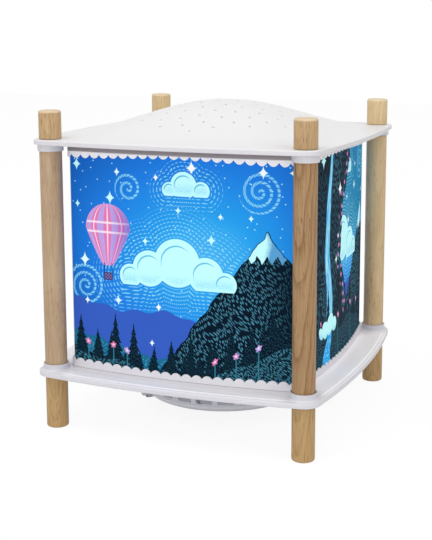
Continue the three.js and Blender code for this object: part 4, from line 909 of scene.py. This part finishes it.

    # The print glows: painted light standing in for the lamp shining through the sheet, over a base at
    # half the print's colour
    feed(shader, {
        "Base Color": colour_mix(1.0, picture, (0.5, 0.5, 0.5, 1), "MULTIPLY"),
        "Emission Color": picture, "Emission Strength": PRINT_PAINTED_GLOW,
        "Roughness": noise_of(place_in(tree), 60.0) * 0.12 + 0.52, "Specular IOR Level": 0.02})
    return material


# Painted glows that stand in for light: on the tray's flat top and the housing's inner skin. The LEDs
# glow as the lamps they are.
TRAY_PAINTED_GLOW = 0.3
HOUSING_PAINTED_GLOW = 0.38
LED_GLOW = 0.6

# Materials, with colour, roughness, cloudiness, grain and peel

PLASTICS = {
    "white_cover": ((240, 239, 240), 0.42, 0.03, 800.0),
    "white_edging": ((236, 235, 239), 0.45, 0.03, 800.0),
    # The edgings are the white plastic of white_edging, set darker on the lower one as painted shade and
    # lighter on the hung one as painted light
    "lower_edging_shaded": ((222, 220, 226), 0.45, 0.03, 800.0),
    "hung_edging_lit": ((249, 248, 251), 0.45),
    # The tray's white is set darker than the cover's as painted shade, for a tray that lies under the
    # cover
    "white_tray_shaded": ((216, 214, 220), 0.4, 0.04, 800.0),
    "housing_grey": ((212, 213, 223), 0.5, 0.05, 1100.0, 0.02),
    "button_grey": ((206, 207, 212), 0.45, 0.05, 1100.0),
    "nylon": ((232, 230, 219), 0.45, 0.04),
    "dark_plastic": ((38, 39, 42), 0.5, 0.1, 1100.0),
    "board_green": ((34, 108, 70), 0.35, 0.12, 1500.0),
    "steel": ((186, 188, 191), 0.3, 0.08, 2200.0, 0.004),
    "clear_plastic": ((246, 245, 236), 0.45),
    "led_yellow": ((248, 226, 130), 0.35, 0.08, 1500.0),
    "wire_white": ((224, 224, 224), 0.5, 0.05),
    "drum_film": ((150, 200, 235), 0.35, 0.3, 300.0),
}

# Woods, with early and late colour, pith, lean, ring spacing and contrast
WOODS = {
    "pillar_left": ((190, 163, 132), (160, 130, 99), (-30, 34), (0.02, -0.03), 2.2, 0.35),
    "pillar_right": ((174, 140, 100), (132, 96, 60), (16, -46), (0.026, -0.075), 3.0, 0.8),
    # The back pillars are set paler than the front ones: painted light, offsetting the shadow that the
    # printed sheet and cover throw on them
    "pillar_back": ((214, 187, 145), (182, 152, 112), (-24, 42), (-0.03, 0.02), 2.4, 0.4),
    "finial_front": ((195, 164, 121), (156, 122, 83), (20, -52), (0.05, -0.12), 2.2, 0.35),
    "finial_back": ((222, 197, 153), (188, 157, 112), (-28, 30), (0.05, -0.1), 2.2, 0.3),
    "foot": ((192, 159, 110), (152, 117, 70), (-18, 60), (0.05, -0.14), 2.4, 0.4),
}


def cover_painted_shade(skin, place):
    """Painted shade: greyer round the cover's rim, and darker still on the collars under it."""
    return {"Base Color": layered(
        skin, (place[2].below(COVER_TOP - 0.35, 0.7), rgb(214, 212, 216)),
        (place[2].below(COVER_BOTTOM - 0.2, 0.4), rgb(208, 206, 211)))}


def tray_painted_light_and_shade(skin, place):
    """Painted shade on the collars, and painted light on the flat top: a paler colour and a glow that
    stands in for the print's light, most at the sides.
    """
    x, y, z = abs(place[0]), abs(place[1]), place[2]
    top = abs(z - TRAY_TOP + TRAY_STEP_DEPTH / 2).below(TRAY_STEP_DEPTH / 2 + 0.2, 0.2)
    corner = x.least(y).ramp(74.0, 8.0)
    rim = x.most(y).ramp(90.0, 6.0) * (1.0 - corner)
    # Painted glow: faint beside the shade and at the corners, brighter towards the rim and on the left
    # and right sides
    painted_tray_glow = layered(rgb(40, 39, 41), (rim, rgb(165, 162, 164)),
                  ((x - y).ramp(6.0, 20.0), rgb(232, 229, 232)))
    # Painted light: the flat top paler than the tray's own white, a little less so at the corners
    flat = colour_mix(corner, rgb(232, 229, 231), rgb(222, 220, 223))
    collar_shade = (-z).below(-TRAY_TOP - 0.5, 0.5)
    return {"Base Color": layered(skin, (collar_shade, rgb(204, 203, 210)), (top, flat)),
            "Emission Color": colour_mix(top, BLACK, painted_tray_glow), "Emission Strength": TRAY_PAINTED_GLOW}


def housing_painted_light_and_shade(skin, place):
    """Painted shade on the darker foot, and a painted glow on the inner skin that stands in for a faint
    light from the lamp inside it.
    """
    x, y, z = place
    inner = length_of(x, y).below(HOUSING_RADIUS - 0.4, 0.5) * (-z).below(-HOUSING_FLOOR - 0.5, 0.5)
    return {"Base Color": colour_mix(z.below(SLOT_LOW - 2.0, 5.0), skin, rgb(114, 116, 126)),
            "Emission Color": colour_mix(inner, BLACK, rgb(190, 190, 193)),
            "Emission Strength": HOUSING_PAINTED_GLOW}


def upper_edging_painted_shadow(skin, place):
    """White scallops, and a painted shadow of the cover's overhang: a dark band over them where the
    edging runs up under the cover.
    """
    rise = place[2] - (COVER_BOTTOM - UPPER_EDGING_HEIGHT + SHADOW_BAND_CLEAR)
    shadow_strength = (rise / 3.0).clamped() * 0.1 + 0.9
    return {"Base Color": colour_mix((-rise).below(0.0, 0.7) * shadow_strength, skin, rgb(132, 122, 124))}


plastic = {name: moulded(name, *values) for name, values in PLASTICS.items()}
# Painted light and shade laid over four of the plastics
for name, tones in (("white_cover", cover_painted_shade), ("white_tray_shaded", tray_painted_light_and_shade),
                    ("housing_grey", housing_painted_light_and_shade), ("hung_edging_lit", upper_edging_painted_shadow)):
    shader = shader_of(plastic[name])
    skin = shader.inputs["Base Color"].links[0].from_socket
    feed(shader, tones(skin, [part / MM for part in parts_of(place_in(shader.id_data))]))
feed(shader_of(plastic["steel"]), {"Metallic": 1.0})
feed(shader_of(plastic["clear_plastic"]), {"Transmission Weight": 0.5})
feed(shader_of(plastic["led_yellow"]), {
    "Emission Color": rgb(255, 244, 214), "Emission Strength": LED_GLOW})
wood = {name: beech("beech_" + name, *values) for name, values in WOODS.items()}


# Posts

def post_profile(low, high, low_hole, high_hole):
    """Half a post's section. An end has a stud's hole and a crisp edge, or is plain and rounded."""
    def end(z, inward, holed):
        """One end's corners as radius, height and rounding, from the axis out."""
        if not holed:
            return [[0, z, 0], [POST_RADIUS, z, POST_ROUNDING]]
        depth = z + inward * STUD_HOLE_DEPTH
        return [[0, depth, 0], [STUD_HOLE_RADIUS, depth, PILLAR_ROUNDING],
                [STUD_HOLE_RADIUS, z, PILLAR_ROUNDING], [POST_RADIUS, z, PILLAR_ROUNDING]]

    points = np.array(end(low, 1, low_hole) + end(high, -1, high_hole)[::-1])
    return softened(points[:, :2], points[:, 2])


post_profiles = {
    "foot": post_profile(0, FOOT_TOP, False, True),
    "pillar": post_profile(PILLAR_BOTTOM, PILLAR_TOP, True, True),
    "finial": post_profile(FINIAL_BOTTOM, FINIAL_TOP, True, False),
}
for corner, (x, y) in CORNERS.items():
    depth, hand = corner.split("_")
    woods = {"foot": "foot", "pillar": "pillar_" + (hand if depth == "front" else depth),
             "finial": "finial_" + depth}
    for kind, profile in post_profiles.items():
        make_piece(f"beech_{kind}_{corner}", shifted(turned(profile), x, y), wood[woods[kind]],
                   f"{kind}_{corner}")

# Cover

cover_stations = bowed_square(HALF_SPACING, COVER_CORNER, COVER_BULGE)


def dome_rise(x, y):
    """The bell of the cover: height ((1 + cos(pi r / foot)) / 2) ^ fullness, r^n = |x|^n + |y|^n."""
    squareness = DOME_SQUARENESS_SHARE
    radius = (np.abs(x) ** squareness + np.abs(y) ** squareness) ** (1 / squareness)
    share = np.minimum(radius / DOME_FOOT_REACH, 1)
    return DOME_HEIGHT * ((1 + np.cos(np.pi * share)) / 2) ** DOME_FULLNESS_SHARE


def cover_form():
    """The shell: dome rings out from the crown, round the edge and lip, and back under the dome."""
    edge_inset = 2 * COVER_LIP

    def dome_ring(share, drop):
        """The edge's outline drawn in to a share of itself, on the dome less a drop."""
        x, y = at_inset(cover_stations, edge_inset)
        x, y = x * share, y * share
        return np.stack([x, y, COVER_TOP + dome_rise(x, y) - drop], axis=-1)

    def edge_ring(inset, z):
        """A ring of the edge. Its height over the foot sets its share of the dome."""
        x, y = at_inset(cover_stations, inset)
        rise = dome_rise(x, y) * np.clip((z - COVER_BOTTOM) / COVER_EDGE, 0, 1)
        return np.stack([x, y, z + rise], axis=-1)

    edge = softened([
        [edge_inset, COVER_TOP], [0, COVER_TOP], [0, COVER_BOTTOM], [COVER_LIP, COVER_BOTTOM],
        [COVER_LIP, COVER_TOP - COVER_WALL], [edge_inset, COVER_TOP - COVER_WALL]],
        [0, 1.0, 0.5, 0.4, 0.6, 0], 5)
    shares = np.linspace(0, 1, DOME_RINGS)
    rows = [dome_ring(share, 0) for share in shares[:-1]]
    rows += [edge_ring(inset, z) for inset, z in edge[:-1]]
    rows += [dome_ring(share, COVER_WALL) for share in shares[::-1]]
    return form_of(np.stack(rows))


def collar_form(low, high, foot):
    """A collar round each post: a ring of the collar's wall that flares at its foot."""
    up = 1 if foot < (low + high) / 2 else -1
    buried, tip = (low, high)[::up]
    flare = COLLAR_RADIUS + COLLAR_FLARE
    ring = softened([
        [COLLAR_BORE, buried], [COLLAR_BORE, tip], [COLLAR_RADIUS, tip],
        [COLLAR_RADIUS, foot + up * COLLAR_FLARE], [flare, foot - up * COLLAR_SINK], [flare, buried]],
        [0.1, 0.25, 0.25, 1.0, 0.1, 0.1], closed=True)
    return at_corners(turned(ring, closed=True))


def star_punches():
    """Four-pointed stars on a sunflower spiral: the n-th at angle n golden, radius as its root."""
    golden = math.pi * (3 - math.sqrt(5))
    spoke = np.arange(8) * np.pi / 4
    reach = np.where(np.arange(8) % 2 == 0, STAR_RADIUS, STAR_WAIST)
    punches = []
    for n in range(STAR_COUNT):
        share = n / (STAR_COUNT - 1)
        radius = math.sqrt(STAR_FIELD_INNER ** 2
                           + (STAR_FIELD_OUTER ** 2 - STAR_FIELD_INNER ** 2) * share)
        outline = np.stack([reach * np.cos(spoke + n * golden), reach * np.sin(spoke + n * golden)], -1)
        punch = prism(outline, COVER_BOTTOM, DOME_CROWN + COVER_WALL)
        punches.append(shifted(punch, radius * math.cos(n * golden), radius * math.sin(n * golden)))
    return joined(punches)


def stud_punches(low, high):
    """A hole for each post's stud."""
    return at_corners(turned(rod(STUD_HOLE_RADIUS, low, high), HOLE_SIDES))


carved_piece("bell_cover", cover_form(),
             collar_form(COVER_BOTTOM - COVER_COLLAR_DROP, COVER_TOP - COVER_WALL / 2,
                         COVER_TOP - COVER_WALL),
             joined([star_punches(), stud_punches(COVER_BOTTOM, COVER_TOP + COVER_WALL)]),
             plastic["white_cover"], "top_cover")


# Tray

def tray_form():
    """The plate: from the middle of its top out over the step and edge, and back underneath."""
    stations = bowed_square(HALF_SPACING, TRAY_CORNER, TRAY_BULGE)
    step = TRAY_TOP - TRAY_STEP_DEPTH
    under = TRAY_TOP - TRAY_WALL
    inner = 3 * TRAY_LIP
    edge = softened([
        [inner, TRAY_TOP], [TRAY_STEP_INSET, TRAY_TOP], [TRAY_STEP_INSET - TRAY_STEP_DEPTH / 2, step],
        [0, step], [0, TRAY_BOTTOM], [TRAY_LIP, TRAY_BOTTOM], [TRAY_LIP, under], [inner, under]],
        [0, 0.4, 0.3, 1.0, 0.6, 0.4, 0.5, 0], 5)
    rows = [ring_row(stations, inset, z) for inset, z in edge]
    middle = [np.broadcast_to([0, 0, z], rows[0].shape) for z in (TRAY_TOP, under)]
    return form_of(np.stack([middle[0], *rows, middle[1]]))


carved_piece("moulded_tray", tray_form(),
             collar_form(TRAY_TOP - TRAY_WALL / 2, TRAY_TOP + COLLAR_HEIGHT, TRAY_TOP),
             stud_punches(TRAY_TOP - 2 * TRAY_WALL, TRAY_TOP + TRAY_WALL),
             plastic["white_tray_shaded"], "base_tray")

# Shade sheet

SHEET_SQUARE = (SHADE_HALF - SHADE_CORNER, SHADE_CORNER, SHADE_BULGE)


def cover_underside(x, y):
    """The height of the underside of the dome."""
    return COVER_TOP + dome_rise(x, y) - COVER_WALL


def sheet_rows():
    """A closed band: outer wall up, top edge, inner wall down."""
    stations = bowed_square(*SHEET_SQUARE, SHEET_SIDE_STEPS, SHEET_CORNER_STEPS)
    outer = EDGING_WALL + SEAT_GAP
    inner = outer + SHEET_THICKNESS
    low = TRAY_TOP + EDGING_FLANGE_HEIGHT + 2 * SEAT_GAP

    def high(x, y):
        """The sheet's top: the dome's underside less the flange and two gaps."""
        return cover_underside(x, y) - EDGING_FLANGE_HEIGHT - 2 * SEAT_GAP

    return np.stack([ring_row(stations, inset, height)
                     for inset, height in ((outer, low), (outer, high), (inner, high), (inner, low))])


def lay_print(sheet, around):
    """Unrolls the sheet for its print: u is the way round it and v the height over the tray.

    A face that crosses the seam takes the full way round at its far end.
    """
    mesh = sheet.data
    points = np.zeros(len(mesh.vertices) * 3)
    mesh.vertices.foreach_get("co", points)
    vertex = np.zeros(len(mesh.loops), int)
    mesh.loops.foreach_get("vertex_index", vertex)
    columns = len(around) - 1
    face_columns = (vertex % columns).reshape(-1, 4)
    crosses_seam = (face_columns.max(1) - face_columns.min(1) > 1)[:, None]
    face_columns = np.where(crosses_seam & (face_columns == 0), columns, face_columns)
    height = points.reshape(-1, 3)[vertex, 2] / MM - TRAY_TOP
    print_uv = np.stack([around[face_columns].ravel(), height], axis=-1)
    mesh.uv_layers.new(name="print").data.foreach_set("uv", print_uv.ravel())


sheet_grid = sheet_rows()
outline = sheet_grid[0, :, :2]
around = np.r_[0, np.cumsum(np.linalg.norm(np.roll(outline, -1, 0) - outline, axis=1))]
corner_length = around[SHEET_SIDE_STEPS + SHEET_CORNER_STEPS] - around[SHEET_SIDE_STEPS]
sheet = make_piece("printed_shade", form_of(sheet_grid, True))
lay_print(sheet, around)
finish_piece(sheet, night_print(around[-1], corner_length), "shade_sheet")

# Scalloped edgings

edging_stations = bowed_square(*SHEET_SQUARE, SCALLOPS_PER_SIDE * SCALLOP_STEPS, SCALLOP_STEPS)


def edging_form(seat, crest, bow, depth, up):
    """An angle strip whose wall ends in scallops, 1 - |2t-1|^n of their depth."""
    share = edging_stations["share"]
    t = (np.arange(len(share)) % SCALLOP_STEPS) / SCALLOP_STEPS
    lobe = 1 - np.abs(2 * t - 1) ** LOBE_ROUNDNESS
    free = crest - up * (bow * np.sin(np.pi * np.minimum(share, 1)) ** 2 + depth * (1 - lobe))

    def seated(offset):
        """The seat's height as a function of x and y, with an offset from it."""
        return lambda x, y: (seat(x, y) if callable(seat) else np.full(x.shape, seat)) + up * offset

    soft, wall, flange = EDGING_ROUNDING, EDGING_WALL, EDGING_WALL + EDGING_FLANGE
    rows = [
        (0, seated(0)), (0, free - up * (soft + EDGING_HOLD)), (0, free - up * soft),
        (soft / 3, free - up * soft / 3), (soft, free),
        (wall - soft, free), (wall - soft / 3, free - up * soft / 3),
        (wall, free - up * soft), (wall, free - up * (soft + EDGING_HOLD)),
        (wall, seated(EDGING_FLANGE_HEIGHT)), (flange, seated(EDGING_FLANGE_HEIGHT)),
        (flange, seated(0)),
    ]
    return form_of(np.stack([ring_row(edging_stations, inset, height) for inset, height in rows]), True)


make_piece("lower_scallops",
           edging_form(TRAY_TOP + SEAT_GAP, TRAY_TOP + LOWER_EDGING_HEIGHT, LOWER_EDGING_SAG,
                       LOWER_SCALLOP_DEPTH, 1),
           plastic["lower_edging_shaded"], "lower_scallop_frame")
make_piece("upper_scallops",
           edging_form(lambda x, y: cover_underside(x, y) - SEAT_GAP, COVER_BOTTOM - UPPER_EDGING_HEIGHT,
                       UPPER_EDGING_ARCH, UPPER_SCALLOP_DEPTH, -1),
           plastic["hung_edging_lit"], "upper_scallop_frame")


# Housing

def housing_form():
    """The bowl: its floor, rounded edge and wall, turned with a closed section."""
    floor_top = HOUSING_FLOOR + HOUSING_WALL
    section = softened([
        [0, HOUSING_FLOOR], [HOUSING_RADIUS, HOUSING_FLOOR], [HOUSING_RADIUS, HOUSING_TOP],
        [HOUSING_INSIDE, HOUSING_TOP], [HOUSING_INSIDE, floor_top], [0, floor_top]],
        [0, HOUSING_ROUNDING * OUTER_CURVE_SHARE, 0.3, 0.3, HOUSING_ROUNDING * INNER_CURVE_SHARE, 0], 8)
    return turned(section, HOUSING_SIDES)


def slot_cuts():
    """Rounded blocks through the wall at equal steps, except beside the button and the inlet."""
    half = math.pi * HOUSING_RADIUS / SLOT_COUNT - SLOT_RIB / 2
    outline = softened([[-half, SLOT_LOW], [half, SLOT_LOW], [half, SLOT_HIGH], [-half, SLOT_HIGH]],
                       SLOT_ROUNDING, 3, closed=True)
    cutter = prism(outline, HOUSING_INSIDE - HOUSING_WALL, HOUSING_RADIUS + HOUSING_WALL)
    pitch = 360 / SLOT_COUNT
    angles = [(i + 0.5) * pitch for i in range(SLOT_COUNT)]
    return [along_ray(cutter, angle, 0.0) for angle in angles
            if abs((angle - BUTTON_ANGLE + 180) % 360 - 180) > pitch
            and abs(angle - INLET_ANGLE) > pitch]


def screw_seats():
    """A hole for the head of each of the housing's screws."""
    seats = []
    for i in range(HOUSING_SCREWS):
        low, high = box_mm(f"housing_screw_{i + 1}")
        x, y = (low[:2] + high[:2]) / 2
        head = (high[0] - low[0]) / 2 + SEAT_GAP
        seat = rod(head, HOUSING_FLOOR - CUT_SPARE, low[2] + 2 * HOUSING_WALL)
        seats.append(shifted(turned(seat, HOLE_SIDES), x, y))
    return seats


def on_ray(profile, angle, height):
    """A profile turned about the ray at this angle and height."""
    return along_ray(turned(profile, 48), angle, height)


boss = softened(rod(BUTTON_BOSS_RADIUS, BUTTON_INNER, BUTTON_BOSS_FACE), [0, 0.2, 0.6, 0])
housing_cuts = joined([
    *slot_cuts(),
    on_ray(rod(BUTTON_BORE, BUTTON_INNER - 2 * CUT_SPARE, BUTTON_BOSS_FACE + CUT_SPARE),
           BUTTON_ANGLE, BUTTON_HEIGHT),
    on_ray(rod(INLET_RADIUS + SEAT_GAP, HOUSING_INSIDE - 2 * HOUSING_WALL,
               HOUSING_RADIUS + HOUSING_WALL), INLET_ANGLE, INLET_HEIGHT),
    *screw_seats()])
carved_piece("vented_housing", housing_form(), on_ray(boss, BUTTON_ANGLE, BUTTON_HEIGHT), housing_cuts,
             plastic["housing_grey"], "base_housing")

button_profile = softened([
    [0, BUTTON_END], [BUTTON_RADIUS, BUTTON_END], [BUTTON_RADIUS, BUTTON_FACE - BUTTON_CROWN],
    [BUTTON_RADIUS / 2, BUTTON_FACE - BUTTON_DISH], [0, BUTTON_FACE]],
    [0, 0.1, BUTTON_CROWN, 1.2, 0], 5)
make_piece("push_button", on_ray(button_profile, BUTTON_ANGLE, BUTTON_HEIGHT),
           plastic["button_grey"], "power_button", "button")
inlet_profile = softened([
    [0, INLET_BACK], [INLET_RADIUS, INLET_BACK], [INLET_RADIUS, INLET_FLANGE_BACK],
    [INLET_FLANGE_RADIUS, INLET_FLANGE_BACK], [INLET_FLANGE_RADIUS, INLET_FACE],
    [INLET_BORE, INLET_FACE], [INLET_BORE, INLET_BORE_END], [INLET_PIN_RADIUS, INLET_BORE_END],
    [INLET_PIN_RADIUS, INLET_PIN_TIP], [0, INLET_PIN_TIP]],
    [0, 0.2, 0.2, 0.2, 0.5, 0.4, 0.2, 0.2, 0.4, 0])
make_piece("barrel_inlet", on_ray(inlet_profile, INLET_ANGLE, INLET_HEIGHT),
           plastic["dark_plastic"], "power_inlet")

# CAD nodes that show as they are

SLOT_MATERIALS = {
    **plastic, "cover_white": plastic["white_edging"], "tray_white": plastic["white_tray_shaded"],
    "beech": wood["foot"], "printed_sheet": plastic["drum_film"],
}
for row in frame["record"]["subparts"]:
    node = frame["nodes"][row["node"]]
    node.data.materials.clear()
    node.data.materials.append(SLOT_MATERIALS[row["material_slot"]])

# Floor, light and camera

FLOOR_HALF = 3.0
FLOOR_PLAINNESS = 0.85
FLOOR_WHITE = 1.06
AMBIENT = 0.6


def seen_rays(tree):
    """1 for the rays that the camera, mirrors and clear parts see, and 0 for those of light."""
    rays = new_node(tree, "LightPath").outputs
    return functools.reduce(Field.most, [
        Field(rays[f"Is {kind} Ray"]) for kind in ("Camera", "Glossy", "Transmission")])


def stage_floor():
    """A pale floor. What the camera and mirrors see of it is mostly plain white, with its shadow."""
    grid = np.array([[-1, -1, 0], [1, -1, 0], [1, 1, 0], [-1, 1, 0]], float) * FLOOR_HALF
    mesh = bpy.data.meshes.new("floor")
    mesh.from_pydata(grid, [], [[0, 1, 2, 3]])
    floor = bpy.data.objects.new("floor", mesh)
    bpy.context.scene.collection.objects.link(floor)
    material, shader = new_material("pale_floor")
    tree = material.node_tree
    feed(shader, {"Base Color": (0.9, 0.9, 0.9, 1), "Roughness": 0.9, "Specular IOR Level": 0.0})
    white = new_node(tree, "Emission", {"Strength": FLOOR_WHITE})
    mix = new_node(tree, "MixShader", {
        0: seen_rays(tree) * FLOOR_PLAINNESS, 1: shader.outputs[0], 2: white.outputs[0]})
    feed(tree.nodes["Material Output"], {"Surface": mix.outputs[0]})
    mesh.materials.append(material)


stage_floor()

world = bpy.data.worlds.new("studio")
bpy.context.scene.world = world
world.use_nodes = True
feed(world.node_tree.nodes["Background"], {
    "Color": (1, 1, 1, 1), "Strength": seen_rays(world.node_tree) * (1.0 - AMBIENT) + AMBIENT})


def soft_box(name, place, size, power, target=(0, 0, 0.12)):
    """A square area lamp that faces the target; places are in metres."""
    lamp = bpy.data.lights.new(name, "AREA")
    lamp.shape, lamp.size, lamp.energy = "SQUARE", size, power
    holder = bpy.data.objects.new(name, lamp)
    bpy.context.scene.collection.objects.link(holder)
    holder.location = place
    holder.rotation_euler = (Vector(target) - Vector(place)).to_track_quat("-Z", "Y").to_euler()


soft_box("key", (-0.5, -0.8, 1.8), 1.0, 8.0)
soft_box("fill", (1.3, -0.6, 1.3), 1.2, 6.0)
soft_box("front", (0.25, -1.7, 0.4), 0.8, 6.0)

# Camera, fitted to the photograph
IMAGE_WIDTH, IMAGE_HEIGHT = 432, 540
FOCAL_PIXELS = 1147.1
CENTRE_PIXEL = (223.38, 210.94)
CAMERA_PLACE = Vector((295.64, -751.04, 276.38)) * MM
CAMERA_TARGET = Vector((-0.28, 0, 140.91)) * MM
CAMERA_ROLL = math.radians(-0.15)
SENSOR_WIDTH = 36.0

camera = bpy.data.cameras.new("camera")
camera.sensor_width = SENSOR_WIDTH
camera.lens = FOCAL_PIXELS * SENSOR_WIDTH / IMAGE_HEIGHT
camera.shift_x = (IMAGE_WIDTH / 2 - CENTRE_PIXEL[0]) / IMAGE_HEIGHT
camera.shift_y = (CENTRE_PIXEL[1] - IMAGE_HEIGHT / 2) / IMAGE_HEIGHT
camera_holder = bpy.data.objects.new("camera", camera)
bpy.context.scene.collection.objects.link(camera_holder)
aim = (CAMERA_TARGET - CAMERA_PLACE).to_track_quat("-Z", "Y").to_matrix()
camera_holder.matrix_world = (Matrix.Translation(CAMERA_PLACE)
                              @ (aim @ Matrix.Rotation(CAMERA_ROLL, 3, "Z")).to_4x4())
bpy.context.scene.camera = camera_holder
bpy.context.scene.view_settings.view_transform = "Standard"
